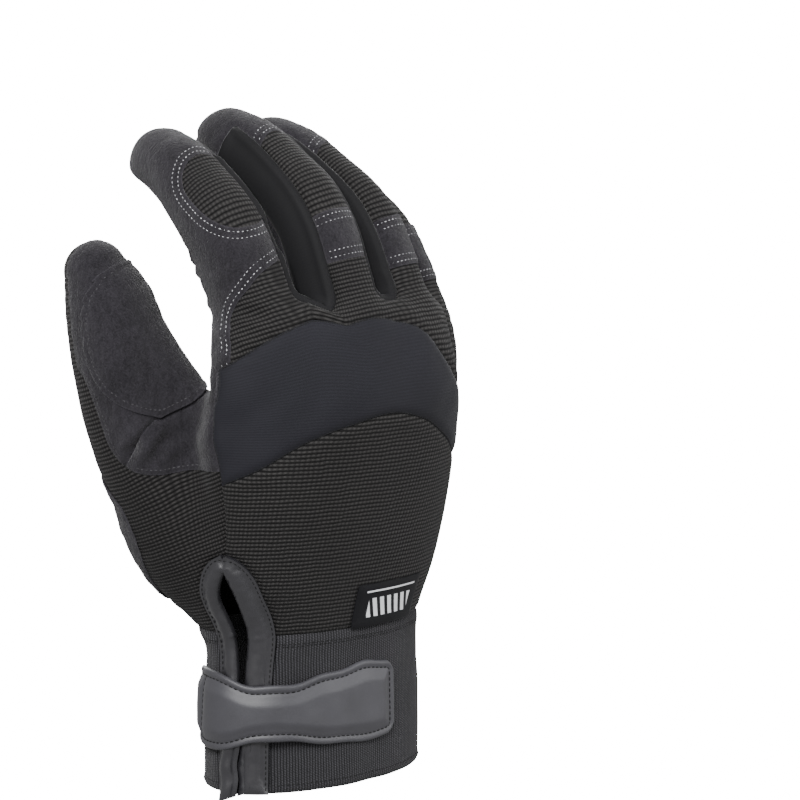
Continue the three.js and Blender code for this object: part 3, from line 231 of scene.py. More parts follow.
def distance(points):
    result = fist_distance(points)
    beside = points[:, 0] < 0
    result[beside] = smooth_min(result[beside], thumb_nearest(points[beside])[0], 8)
    return result


def slope_at(points):
    slope = np.empty_like(points)
    for axis in range(3):
        nudge = np.zeros(3)
        nudge[axis] = 0.2
        slope[:, axis] = (distance(points + nudge) - distance(points - nudge)) / 0.4
    return slope


def drawn_onto(points, turns=2):
    for _ in range(turns):
        slope = slope_at(points)
        share = distance(points) / np.maximum((slope**2).sum(1), 0.2)
        points = points - slope * np.clip(share, -2, 2)[:, None]
    return points


BEND_START, BEND_END = -0.4, 1.2
for finger in FINGERS:
    along = np.linspace(BEND_START, BEND_END, 161)
    starts = JOINTS["along"] - JOINTS["spread"] / 2
    angle = sum(b * step(along, s, s + w) for b, s, w in zip(finger.bends, starts, JOINTS["spread"]))
    mean = (angle[1:] + angle[:-1]) / 2
    run = (along[1] - along[0]) * finger.length
    line = np.array([np.r_[0, np.cumsum(np.sin(mean) * run)], np.r_[0, np.cumsum(np.cos(mean) * run)]])
    finger.line = np.column_stack((along, *(line - line[:, [40]]), angle))


def arch_place(x, y, z, place_x, place_z):
    share = step(place_z, 0.8 * CUFF_HEIGHT, KNUCKLES)
    curve = np.maximum(share, 1e-4) / np.where(place_x < ARCH_PEAK, KNUCKLE_ARCH, LITTLE_ARCH)
    turn = (place_x - ARCH_PEAK) * curve
    beside = x - place_x
    across = np.sin(turn) / curve + beside * np.cos(turn) - y * np.sin(turn)
    front = (1 - np.cos(turn)) / curve + beside * np.sin(turn) + y * np.cos(turn)
    return np.column_stack((ARCH_PEAK + HAND_SWAY * share + across, -HAND_LEAN * share + front, z))


def finger_place(finger, x, y, z):
    share = (z - finger.z) / finger.length
    along, line_y, line_z, angle = finger.line.T
    at = np.clip(share, BEND_START, BEND_END)
    bend = np.interp(at, along, angle)
    u = x - finger.x
    v = np.interp(at, along, line_y) + y * np.cos(bend)
    w = np.interp(at, along, line_z) - y * np.sin(bend) + np.minimum(share - BEND_START, 0) * finger.length
    cosine, sine = np.cos(finger.splay), np.sin(finger.splay)
    u, w = u * cosine + w * sine, w * cosine - u * sine
    turn = (finger.x - ARCH_PEAK) / (KNUCKLE_ARCH if finger.x < ARCH_PEAK else LITTLE_ARCH) + finger.turn
    u, v = u * np.cos(turn) - v * np.sin(turn), u * np.sin(turn) + v * np.cos(turn)
    root = arch_place(*(np.array([value], float) for value in (finger.x, 0, finger.z, finger.x, KNUCKLES)))
    return root + np.column_stack((u, v, w))


def posed(points):
    """Places in the flat frame, moved to the worn pose."""
    x, y, z = points.T
    is_thumb = step(fist_distance(points) - thumb_nearest(points)[0], -4, 12)
    place_x = mix(x, np.maximum(x, -0.43 * PALM_WIDTH), is_thumb)
    place_z = mix(z, np.minimum(z, CUFF_HEIGHT + 0.39 * PALM_LENGTH), is_thumb)
    place = arch_place(x, y, z, place_x, place_z)
    is_finger = step(z, KNUCKLES - 24, KNUCKLES + 2) * (1 - is_thumb)
    spread = mix(16, FINGER_SPACE / 2, step(z, KNUCKLES, CROTCHES))
    fingered, left = np.zeros_like(place), np.ones(len(x))
    for finger in FINGERS:
        share = np.ones(len(x)) if finger is LITTLE else step(finger.right - x, -spread / 2, spread / 2)
        fingered += (left * share)[:, None] * finger_place(finger, x, y, z)
        left = left * (1 - share)
    return place + (fingered - place) * is_finger[:, None]


# The cloth surface: a fine closed skin over that form, before it is cut into panels.
GRID = 1.25


def grid_lines(low, high, fixed):
    stops = [low, *fixed, high]
    parts = []
    for a, b in zip(stops, stops[1:]):
        parts.append(np.linspace(a, b, max(1, round((b - a) / GRID)), endpoint=False))
    return np.r_[np.concatenate(parts), high]


lines = [
    grid_lines(-112, 64, [INDEX.left, *(finger.right for finger in FINGERS[:3])]),
    grid_lines(-40, 64, [0]),
    grid_lines(-4, 240, [CUFF_HEIGHT]),
]
coarse = [np.unique(np.r_[axis[::4], axis[-1]]) for axis in lines]
rough = distance(np.stack(np.meshgrid(*coarse, indexing="ij"), -1).reshape(-1, 3))
rough = rough.reshape([len(axis) for axis in coarse])
for n in range(3):
    at = np.interp(lines[n], coarse[n], np.arange(len(coarse[n])))
    low = np.minimum(at.astype(int), len(coarse[n]) - 2)
    share = (at - low).reshape([-1 if m == n else 1 for m in range(3)])
    rough = mix(np.take(rough, low, n), np.take(rough, low + 1, n), share)
field = rough
close = np.abs(rough) < 8
spots = np.argwhere(close)
field[close] = np.concatenate([
    distance(np.column_stack([lines[n][chunk[:, n]] for n in range(3)]))
    for chunk in np.array_split(spots, max(1, len(spots) // 200000))
])

inside = field < 0
shape = np.array(field.shape) - 1
total, crossings = np.zeros((*shape, 3)), np.zeros(shape)
for axis in range(3):
    a = np.moveaxis(field, axis, 0)
    crossed = np.moveaxis(inside, axis, 0)
    crossed = crossed[1:] != crossed[:-1]
    span = np.diff(lines[axis]).reshape(-1, 1, 1)
    with np.errstate(divide="ignore", invalid="ignore"):
        spot = lines[axis][:-1].reshape(-1, 1, 1) + span * (a[:-1] / (a[:-1] - a[1:]))
    spot = np.moveaxis(np.where(crossed, spot, 0), 0, axis)
    crossed = np.moveaxis(crossed, 0, axis)
    others = [n for n in range(3) if n != axis]
    for p in (0, 1):
        for q in (0, 1):
            part = [slice(None)] * 3
            part[others[0]] = slice(p, p + shape[others[0]])
            part[others[1]] = slice(q, q + shape[others[1]])
            hit = crossed[tuple(part)]
            crossings += hit
            total[..., axis] += spot[tuple(part)]
            for other, offset in zip(others, (p, q)):
                place = lines[other][offset:offset + shape[other]]
                place = place.reshape([-1 if m == other else 1 for m in range(3)])
                total[..., other] += np.where(hit, place, 0)
used = crossings > 0
number = np.full(shape, -1)
number[used] = np.arange(used.sum())
points = total[used] / crossings[used][:, None]
faces = []
for axis in range(3):
    p, q = (axis + 1) % 3, (axis + 2) % 3
    size = shape.copy()
    size[axis] += 1
    low = [slice(1, s) for s in shape]
    low[axis] = slice(0, shape[axis])
    high = list(low)
    high[axis] = slice(1, shape[axis] + 1)
    a, b = inside[tuple(low)], inside[tuple(high)]
    cells = np.argwhere(a != b)
    outward = a[a != b]
    cells += [0 if n == axis else 1 for n in range(3)]
    ring = []
    for dp, dq in ((0, 0), (1, 0), (1, 1), (0, 1)):
        cell = cells.copy()
        cell[:, p] -= dp
        cell[:, q] -= dq
        ring.append(number[tuple(cell.T)])
    ring = np.array(ring).T
    ring[~outward] = ring[~outward][:, ::-1]
    faces.append(ring)
quads = np.concatenate(faces)
quads = quads[(quads >= 0).all(1)]
points = drawn_onto(points, 3)
for _ in range(3):
    total, counts = np.zeros_like(points), np.zeros(len(points))
    for n in range(4):
        np.add.at(total, quads[:, n], points[quads[:, (n + 1) % 4]])
        np.add.at(counts, quads[:, n], 1)
    points = drawn_onto(mix(points, total / np.maximum(counts, 1)[:, None], 0.5), 1)
a, b, c, d = (points[quads[:, n]] for n in range(4))
short = np.linalg.norm(a - c, axis=1) < np.linalg.norm(b - d, axis=1)
faces = np.concatenate([
    quads[short][:, [0, 1, 2]], quads[short][:, [0, 2, 3]],
    quads[~short][:, [1, 2, 3]], quads[~short][:, [1, 3, 0]],
])


# Seams. Heights are shares of the palm's length above the cuff, and reaches to the side and the
# front are shares of half the palm's width and depth. The slit's heights are shares of its own.
def height_of(share):
    return CUFF_HEIGHT + share * PALM_LENGTH


SIDE, FRONT = PALM_WIDTH / 2, PALM_DEPTH / 2
PALM_TURN, SADDLE_FALL = 0.45 * FRONT, 12
THUMB_SIDE = table(
    "up back palm",
    (0, -0.35, -0.28),
    (0.1, -0.35, -0.39),
    (0.19, -0.35, -0.51),
    (0.34, -0.35, -0.85),
    (0.5, -0.36, -1.09),
    (0.65, -0.3, -1.2),
    (0.77, 0.04, -1.25),
    (0.88, 0.12, -1.3),
)
BAND = table(
    "across low high",
    (-1.15, 0.43, 0.862),
    (-0.85, 0.52, 0.904),
    (-0.58, 0.61, 0.92),
    (-0.19, 0.676, 0.931),
    (0.08, 0.645, 0.885),
    (0.3, 0.585, 0.79),
    (0.6, 0.5, 0.69),
    (1, 0.41, 0.61),
)
INDEX_EDGE = table(
    "across up",
    (-1.06, 0.87),
    (-0.98, 0.97),
    (-0.92, 1.03),
    (-0.86, 1.06),
    (-0.76, 1.095),
    (-0.58, 1.12),
    (-0.44, 1.135),
)
HEEL = table(
    "up front",
    (0.07, 1.5),
    (0.09, 1.02),
    (0.18, 0.9),
    (0.3, 0.85),
    (0.41, 1.1),
    (0.47, 1.55),
    (0.52, 2.1),
)
SADDLE = table(
    "across up",
    (-1.7, 0.95),
    (-1.57, 0.735),
    (-1.5, 0.61),
    (-1.45, 0.55),
    (-1.4, 0.52),
    (-1.33, 0.505),
    (-1.22, 0.502),
    (-1.1, 0.515),
    (-0.9, 0.53),
)
SLIT_HEIGHT, SLIT_OPENING, BINDING_WIDTH = 71, 4.4, 5.4
SLIT = table(
    "up front open",
    (0, -0.45, 0.15),
    (0.35, -0.45, 0.15),
    (0.55, -0.45, 0.22),
    (0.72, -0.42, 0.4),
    (0.88, -0.34, 0.5),
    (1, -0.33, 0),
)
PATCHES = {"middle": (0.305, 0.44, 0.73), "ring": (0.265, 0.42, 0.72), "little": (0.21, 0.43, 2)}
FORK_START, FORK_BACK, FORK_FRONT = CROTCHES - 0.12 * PALM_LENGTH, 0.72, 0.3
FORK_ENDS = {"index": 0.84, "middle": 0.82, "ring": 0.82, "little": 0.86}
LABEL_SIDE, LABEL_WIDTH, LABEL_HEIGHT = -0.08 * SIDE, 28, 14
BINDING_TOP = SLIT_HEIGHT + BINDING_WIDTH


def thumb_back_edge(z):
    return FRONT * column(THUMB_SIDE, "up", "back", (z - CUFF_HEIGHT) / PALM_LENGTH)


def palm_edge(z):
    return SIDE * column(THUMB_SIDE, "up", "palm", (z - CUFF_HEIGHT) / PALM_LENGTH)


def band_edge(name, x):
    return height_of(column(BAND, "across", name, x / SIDE))


def index_edge(x):
    return height_of(column(INDEX_EDGE, "across", "up", x / SIDE))


def saddle_edge(x):
    return height_of(column(SADDLE, "across", "up", x / SIDE))


def heel_edge(z):
    return FRONT * column(HEEL, "up", "front", (z - CUFF_HEIGHT) / PALM_LENGTH)


def slit_middle(z):
    return FRONT * column(SLIT, "up", "front", z / SLIT_HEIGHT)


def slit_open(z):
    return SLIT_OPENING * column(SLIT, "up", "open", z / SLIT_HEIGHT)


def binding_reach(z):
    bend = 0.84 * SLIT_HEIGHT
    beyond = np.clip((z - bend) / (BINDING_TOP - bend), 0, 1)
    return (slit_open(np.minimum(z, bend)) + BINDING_WIDTH) * np.sqrt(1 - beyond**2)


def finger_number(x):
    return np.searchsorted([finger.right for finger in FINGERS[:3]], x, side="right")


def by_finger(values, x):
    return np.array(values)[finger_number(x)]


def finger_size(size, x):
    """A size of the finger that each place belongs to."""
    return by_finger([getattr(finger, size) for finger in FINGERS], x)


def on_finger(finger, p):
    return finger_number(p[:, 0]) == FINGERS.index(finger)


def along_finger(p):
    return (p[:, 2] - finger_size("z", p[:, 0])) / finger_size("length", p[:, 0])


def across_finger(p):
    return (p[:, 0] - finger_size("x", p[:, 0])) / finger_size("half_width", p[:, 0])


def knit_end(p):
    ends = by_finger([2, *(PATCHES[finger.name][2] for finger in FINGERS[1:])], p[:, 0])
    return along_finger(p) - ends + 0.07 * across_finger(p) ** 2


def index_oval(p):
    across = np.abs((p[:, 0] - INDEX.x) / INDEX.half_width - 0.06) / 0.82
    along = np.abs((p[:, 2] - INDEX.z) / INDEX.length - 0.57) / 0.135
    return across**2.6 + along**2.6 - 1


def thumb_turn(p):
    away = p - thumb_nearest(p)[1]
    away[:, 2] = 0
    away /= np.maximum(np.linalg.norm(away, axis=1), 1e-6)[:, None]
    return away @ np.array((-0.74, 0.67, 0)) / math.hypot(0.74, 0.67)


THUMB_KNIT = 0.66


def thumb_oval(p):
    turn = np.degrees(np.arccos(np.clip(-thumb_turn(p), -1, 1))) / 112
    up = np.abs((p[:, 2] - CUFF_HEIGHT) / PALM_LENGTH - 0.9) / 0.235
    return turn**2.5 + up**2.5 - 1


def fold_height(p):
    x, y, z = p.T
    return z - height_of(0.57) - 1.5 * (x + 1.4 * SIDE) + (y - PALM_TURN)


def on_thumb(p):
    return thumb_nearest(p)[0] < fist_distance(p)


def is_fork(p):
    x, y, z = p.T
    k = finger_number(x)
    middle = finger_size("x", x)
    outside = ((k == 0) & (x < middle)) | ((k == 3) & (x > middle))
    depth = finger_size("half_depth", x)
    end = by_finger([FORK_ENDS[finger.name] for finger in FINGERS], x)
    strip = (y > -FORK_BACK * depth) & (y < FORK_FRONT * depth)
    return (z > FORK_START) & ~outside & strip & (along_finger(p) < end)


def piece_names(p):
    """Name of the panel that each place belongs to."""
    x, y, z = p.T
    k = finger_number(x)
    names = np.full(len(p), "palm_panel", object)
    middle = finger_size("x", x)
    dorsal = y <= 0
    along = along_finger(p)
    backs, tips, patches = (
        np.array([f"{finger.name}_{part}" for finger in FINGERS], object)[k]
        for part in ("back", "fingertip", "knuckle_patch")
    )
    start, stop = (by_finger([9, *(PATCHES[finger.name][n] for finger in FINGERS[1:])], x) for n in (0, 1))
    others = dorsal & (k > 0)
    names[others] = np.where(knit_end(p) < 0, backs, tips)[others]
    names[others & (along < stop)] = patches[others & (along < stop)]
    names[others & (along < start)] = "upper_back_panel"
    first = dorsal & (k == 0)
    names[first & (index_oval(p) < 0)] = "index_back"
    names[first & (z < index_edge(x))] = "upper_back_panel"
    names[dorsal & (z < band_edge("high", x))] = "knuckle_band"
    names[dorsal & (z < band_edge("low", x))] = "back_panel"
    beside = (x < 0) & (y > thumb_back_edge(z)) & (z < CROTCHES)
    front = y > PALM_TURN + SADDLE_FALL * step(z, height_of(0.46), height_of(0.5))
    knit = np.where(front, x < palm_edge(z), z < saddle_edge(x)) & (z < height_of(0.8))
    names[beside] = np.where(knit, "thumb_back", "palm_panel")[beside]
    fork = is_fork(p)
    lower = np.where(x > middle, k, k - 1)
    forks = np.array(["index_middle", "middle_ring", "ring_little"], object)
    names[fork] = ["fourchette_" + forks[min(max(n, 0), 2)] for n in lower[fork]]
    thumb = on_thumb(p) & (fold_height(p) > 0)
    knit = (thumb_turn(p) > THUMB_KNIT) | (z < saddle_edge(x))
    names[thumb] = np.where(knit, "thumb_back", "thumb_front")[thumb]
    names[z < CUFF_HEIGHT] = "cuff_band"
    beside = np.abs(y - slit_middle(z))
    names[(x < 0) & (z < BINDING_TOP) & (beside < binding_reach(z))] = "slit_binding"
    names[(x < 0) & (z < SLIT_HEIGHT) & (beside < slit_open(z))] = ""
    names[z < 0] = ""
    return names


def cover_names(p, names):
    """Name of the patch or label that lies on top of each place, if any."""
    x, y, z = p.T
    covers = np.full(len(p), "", object)
    heel = (z > height_of(HEEL["up"][0])) & (z < height_of(HEEL["up"][-1])) & (y > heel_edge(z))
    covers[heel & (names == "thumb_back")] = "heel_patch"
    covers[(names == "thumb_front") & (thumb_oval(p) < 0)] = "thumb_patch"
    labelled = (x > LABEL_SIDE) & (x < LABEL_SIDE + LABEL_WIDTH) & (y < 0)
    covers[labelled & (z > CUFF_HEIGHT) & (z < CUFF_HEIGHT + LABEL_HEIGHT)] = "label"
    return covers


def on_back(p):
    x, y, z = p.T
    return (z > CUFF_HEIGHT) & np.where(x < 0, y < thumb_back_edge(z) + 2, y < 2)


def thumb_area(p):
    return (p[:, 0] < -0.8 * SIDE) & on_thumb(p)


def near_saddle(p):
    x, y, z = p.T
    beside = (x < -0.8 * SIDE) & (z < height_of(0.9)) & (y > thumb_back_edge(z) - 1)
    on_suede = on_thumb(p) & (fold_height(p) > -1) & (thumb_turn(p) < THUMB_KNIT + 0.05)
    return beside & ((y < PALM_TURN + SADDLE_FALL + 1) | on_suede)


seams = [
    (lambda p: p[:, 2], lambda p: p[:, 2] < 9),
    (lambda p: p[:, 2] - CUFF_HEIGHT, lambda p: p[:, 2] < 60),
    (
        lambda p: p[:, 1],
        lambda p: (p[:, 2] > CUFF_HEIGHT) & (p[:, 0] > np.where(p[:, 2] > CROTCHES, LITTLE.x, 0)),
    ),
    (
        lambda p: p[:, 1] - thumb_back_edge(p[:, 2]),
        lambda p: (p[:, 0] < 0) & (p[:, 2] > CUFF_HEIGHT) & (p[:, 2] < height_of(0.95))
        & ~(on_thumb(p) & (fold_height(p) > 0)),
    ),
    (lambda p: p[:, 2] - band_edge("low", p[:, 0]), on_back),
    (lambda p: p[:, 2] - band_edge("high", p[:, 0]), on_back),
    (lambda p: p[:, 2] - index_edge(p[:, 0]), lambda p: on_back(p) & (p[:, 0] < INDEX.right)),
    (index_oval, lambda p: (p[:, 1] < 0) & (p[:, 0] < INDEX.right)),
    (lambda p: thumb_turn(p) - THUMB_KNIT, lambda p: thumb_area(p) & (fold_height(p) > -2)),
    (
        fold_height,
        lambda p: (p[:, 0] < -0.8 * SIDE) & (p[:, 2] < height_of(0.85)) & (thumb_turn(p) < THUMB_KNIT),
    ),
    (lambda p: p[:, 2] - saddle_edge(p[:, 0]), near_saddle),
    (
        lambda p: p[:, 0] - palm_edge(p[:, 2]),
        lambda p: (p[:, 0] < 0) & (p[:, 2] > CUFF_HEIGHT) & (p[:, 1] > PALM_TURN) & (fold_height(p) < 2),
    ),
    (
        lambda p: p[:, 1] - heel_edge(p[:, 2]),
        lambda p: (p[:, 0] < palm_edge(p[:, 2]) + 1)
        & (p[:, 2] > height_of(0.06)) & (p[:, 2] < height_of(0.53)),
    ),
    (
        lambda p: p[:, 2] - height_of(HEEL["up"][0]),
        lambda p: (p[:, 0] < palm_edge(p[:, 2]) + 1) & (p[:, 1] > heel_edge(p[:, 2]) - 1),
    ),
    (thumb_oval, lambda p: thumb_area(p) & (fold_height(p) > -1)),
    (
        lambda p: p[:, 2] - CUFF_HEIGHT - LABEL_HEIGHT,
        lambda p: (p[:, 1] < 0) & (p[:, 0] > LABEL_SIDE - 1) & (p[:, 0] < LABEL_SIDE + LABEL_WIDTH + 1),
    ),
]
for sign in (-1, 1):
    seams.append((
        lambda p, sign=sign: sign * (p[:, 1] - slit_middle(p[:, 2])) - slit_open(p[:, 2]),
        lambda p: (p[:, 0] < 0) & (p[:, 2] > -1) & (p[:, 2] < SLIT_HEIGHT),
    ))
    seams.append((
        lambda p, sign=sign: sign * (p[:, 1] - slit_middle(p[:, 2])) - binding_reach(p[:, 2]),
        lambda p: (p[:, 0] < 0) & (p[:, 2] > -1) & (p[:, 2] < BINDING_TOP),
    ))
for edge in (LABEL_SIDE, LABEL_SIDE + LABEL_WIDTH):
    seams.append((
        lambda p, edge=edge: p[:, 0] - edge,
        lambda p: (p[:, 1] < 0) & (p[:, 2] > CUFF_HEIGHT - 1) & (p[:, 2] < CUFF_HEIGHT + LABEL_HEIGHT + 1),
    ))


def beside_middle(finger, p):
    return (p[:, 0] > finger.left) & (p[:, 0] < finger.right)


def within(finger, p, margin=1.0):
    reach = np.where((p[:, 0] > finger.x) & (finger is LITTLE), 1, -FORK_BACK * finger.half_depth + margin)
    return on_finger(finger, p) & (p[:, 1] < reach)


for finger in FINGERS[1:]:
    for share in PATCHES[finger.name][:2]:
        seams.append((
            lambda p, f=finger, s=share: p[:, 2] - f.z - s * f.length,
            lambda p, f=finger: within(f, p),
        ))
    seams.append((knit_end, lambda p, f=finger: within(f, p)))
for finger in FINGERS:
    for share in (-FORK_BACK, FORK_FRONT):
        seams.append((
            lambda p, f=finger, s=share: p[:, 1] - s * f.half_depth,
            lambda p, f=finger: on_finger(f, p) & (p[:, 2] > FORK_START)
            & ((f is not INDEX) | (p[:, 0] > f.x)) & ((f is not LITTLE) | (p[:, 0] < f.x)),
        ))
for finger in (MIDDLE, RING):
    seams.append((
        lambda p, f=finger: p[:, 0] - f.x,
        lambda p, f=finger: is_fork(p) & (along_finger(p) > 0.5) & (np.abs(p[:, 0] - f.x) < 10),
    ))
for finger in (MIDDLE, RING):
    seams.append((
        lambda p, f=finger: along_finger(p) - FORK_ENDS[f.name],
        lambda p, f=finger: beside_middle(f, p) & (np.abs(p[:, 1]) < FORK_BACK * f.half_depth + 1),
    ))
    seams.append((
        lambda p: p[:, 1],
        lambda p, f=finger: beside_middle(f, p) & (along_finger(p) > FORK_ENDS[f.name]),
    ))
seams.append((
    lambda p: along_finger(p) - FORK_ENDS["index"],
    lambda p: (p[:, 0] < INDEX.right) & (p[:, 0] > INDEX.x) & (np.abs(p[:, 1]) < INDEX.half_depth),
))
seams.append((
    lambda p: along_finger(p) - FORK_ENDS["little"],
    lambda p: (p[:, 0] > LITTLE.left) & (p[:, 0] < LITTLE.x)
    & (p[:, 1] > -FORK_BACK * LITTLE.half_depth - 1),
))
seams.append((
    lambda p: p[:, 0] - LITTLE.x,
    lambda p: (p[:, 0] > LITTLE.left) & (along_finger(p) > FORK_ENDS["little"])
    & (p[:, 1] > -FORK_BACK * LITTLE.half_depth - 1) & (p[:, 1] < 2),
))

sewn = np.zeros(len(points), bool)
for value_of, near in seams:
    values = value_of(points)
    side = np.sign(values)[faces]
    mixed = np.flatnonzero((side.min(1) < 0) & (side.max(1) > 0))
    pairs = np.sort(np.concatenate([faces[mixed][:, [n, (n + 1) % 3]] for n in range(3)]), axis=1)
    pairs = np.unique(pairs, axis=0)
    pairs = pairs[values[pairs[:, 0]] * values[pairs[:, 1]] < 0]
    if not len(pairs):
        continue
    share = values[pairs[:, 0]] / (values[pairs[:, 0]] - values[pairs[:, 1]])
    places = mix(points[pairs[:, 0]], points[pairs[:, 1]], share[:, None])
    keep = near(places)
    pairs, share, places = pairs[keep], share[keep], places[keep]
    moved = set()
    for (a, b), t, place in zip(pairs, share, places):
        nearest = a if t < 0.28 else b if t > 0.72 else None
        if nearest is None:
            continue
        if not sewn[nearest] and nearest not in moved:
            points[nearest] = place
        moved.add(nearest)
    sewn[list(moved)] = True
    added, new_points = {}, []
    for (a, b), place in zip(pairs, places):
        if a not in moved and b not in moved:
            added[int(a), int(b)] = len(points) + len(new_points)
            new_points.append(place)
    if new_points:
        points = np.concatenate([points, new_points])
        sewn = np.r_[sewn, np.ones(len(new_points), bool)]
    rest, changed = [], []
    for f in mixed:
        face = faces[f].tolist()
        cuts = [added.get((min(a, b), max(a, b))) for a, b in zip(face, face[1:] + face[:1])]
        count = 3 - cuts.count(None)
        if not count:
            continue
        changed.append(f)
        if count == 3:
            (a, b, c), (ab, bc, ca) = face, cuts
            rest += [(a, ab, ca), (ab, b, bc), (ca, bc, c), (ab, bc, ca)]
            continue
        if count == 1:
            turn = next(n for n in range(3) if cuts[n] is not None)
        else:
            turn = next(n for n in range(3) if cuts[(n + 2) % 3] is None)
        a, b, c = (face[(turn + n) % 3] for n in range(3))
        ab, bc = cuts[turn], cuts[(turn + 1) % 3]
        rest += [(a, ab, c), (ab, b, c)] if count == 1 else [(ab, b, bc), (a, ab, bc), (a, bc, c)]
    if changed:
        faces = np.concatenate([np.delete(faces, changed, 0), rest])


def neighbours_of(faces):
    """For each face, the faces beyond its three edges, or -1."""
    starts, ends = faces.ravel(), np.roll(faces, -1, 1).ravel()
    size = faces.max() + 1
    key, back_key = starts * size + ends, ends * size + starts
    order = np.argsort(key)
    found = np.searchsorted(key[order], back_key)
    found = np.minimum(found, len(key) - 1)
    hit = key[order][found] == back_key
    return np.where(hit, order[found] // 3, -1).reshape(-1, 3)


beyond = neighbours_of(faces)


def tidied(names):
    """Slivers that a seam cut off go to the panel beside them."""
    for _ in range(4):
        others = np.where(beyond >= 0, names[beyond], "")
        alone = (names != "") & ~(others == names[:, None]).any(1)
        names = np.where(alone & (others[:, 0] != ""), others[:, 0], names)
    group = np.full(len(faces), -1)
    groups = []
    for start in range(len(faces)):
        if group[start] >= 0 or names[start] == "":
            continue
        members, group[start] = [start], len(groups)
        for f in members:
            for other in beyond[f]:
                if other >= 0 and group[other] < 0 and names[other] == names[f]:
                    group[other] = len(groups)
                    members.append(other)
        groups.append(members)
    largest = {}
    for members in groups:
        name = names[members[0]]
        largest[name] = max(largest.get(name, 0), len(members))
    for members in groups:
        if len(members) < largest[names[members[0]]]:
            own = set(members)
            outer = [f for m in members for f in beyond[m] if f >= 0 and f not in own]
            names[members] = names[outer[0]] if outer else ""
    return names


centres = points[faces].mean(1)
panel_of = tidied(piece_names(centres))
cover_of = tidied(cover_names(centres, panel_of))

# The index finger of the glove is empty at its tip, so its front lies flatter there.
TIP_FLATTENING = 0.5
worn = points.copy()
tip = (points[:, 0] < INDEX.right) & (points[:, 2] > CROTCHES) & (points[:, 1] > 0) & ~on_thumb(points)
share = (points[tip, 2] - INDEX.z) / INDEX.length
worn[tip, 1] *= 1 - TIP_FLATTENING * step(share, 0.5, 0.82)
placed = posed(worn)


def normals_of(places, corners):
    a, b, c = (places[corners[:, n]] for n in range(3))
    area = np.cross(b - a, c - a)
    result = np.zeros_like(places)
    for n in range(3):
        np.add.at(result, corners[:, n], area)
    return result / np.maximum(np.linalg.norm(result, axis=1), 1e-9)[:, None]


normals = normals_of(placed, faces)


# Panels. Each is its own closed piece of cloth: outer side, inner side and the edge between them.
# A suede panel that is laid over its neighbour has a crisp cut edge; the others are turned in at
# their seams.
def new_object(name, places, corners):
    mesh = bpy.data.meshes.new(name)
    mesh.vertices.add(len(places))
    mesh.vertices.foreach_set("co", (np.asarray(places) / 1000).ravel())
    mesh.loops.add(len(corners) * 3)
    mesh.loops.foreach_set("vertex_index", np.asarray(corners).ravel())
    mesh.polygons.add(len(corners))
    mesh.polygons.foreach_set("loop_start", np.arange(len(corners)) * 3)
    mesh.polygons.foreach_set("use_smooth", np.ones(len(corners), bool))
    mesh.update()
    mesh.validate()
    mesh.set_sharp_from_angle(angle=math.radians(55))
    piece = bpy.data.objects.new(name, mesh)
    scene.collection.objects.link(piece)
    return piece


def set_attribute(piece, name, values):
    kind, key = ("FLOAT", "value") if np.ndim(values) == 1 else ("FLOAT_VECTOR", "vector")
    attribute = piece.data.attributes.new(name, kind, "POINT")
    attribute.data.foreach_set(key, np.ascontiguousarray(values, dtype=np.float32).ravel())


def nearest_distance(places, targets):
    if not len(targets):
        return np.full(len(places), 99.0)
    tree = KDTree(len(targets))
    for n, target in enumerate(targets):
        tree.insert(target, n)
    tree.balance()
    return np.array([tree.find(place)[2] for place in places])


COVERS = ("heel_patch", "thumb_patch", "label")
LAID_OVER = {
    "palm_panel": ("index_back", "upper_back_panel", "thumb_back"),
    "thumb_front": ("thumb_back",),
    "middle_knuckle_patch": ("upper_back_panel", "middle_back"),
    "ring_knuckle_patch": ("upper_back_panel", "ring_back"),
    "little_knuckle_patch": ("upper_back_panel", "little_back"),
    "middle_fingertip": ("middle_back",),
    "ring_fingertip": ("ring_back",),
}
panels = {}
for name in sorted(set(panel_of) | set(cover_of)):
    if not name:
        continue
    names = cover_of if name in COVERS else panel_of
    chosen = np.flatnonzero(names == name)
    ids, local = np.unique(faces[chosen], return_inverse=True)
    local = local.reshape(-1, 3)
    other_names = np.where(beyond[chosen] >= 0, names[beyond[chosen]], "")
    borders = [
        (local[f, n], local[f, (n + 1) % 3], other_names[f, n])
        for f, n in np.argwhere(other_names != name)
    ]
    starts, ends = (placed[ids[[border[n] for border in borders]]] for n in (0, 1))
    spots = np.concatenate([mix(starts, ends, share) for share in (0, 0.25, 0.5, 0.75)])
    panels[name] = {
        "ids": ids, "faces": local, "borders": borders, "spots": spots,
        "beside": np.array([other for _, _, other in borders] * 4, object),
        "edge": nearest_distance(placed[ids], spots),
    }


def distance_to(name, *others):
    """Distance from each place of a panel to its seam with the named panels."""
    panel = panels[name]
    shared = np.isin(panel["beside"].astype(str), others)
    return nearest_distance(placed[panel["ids"]], panel["spots"][shared])


# Creases across the fronts of the fingers: place along the finger and depth in millimetres.
CREASES = ((0.06, 0.9), (0.44, 1.0), (0.72, 0.6))
INDEX_CREASES = ((0.22, 1.7), (0.42, 2.0), (0.72, 0.4))


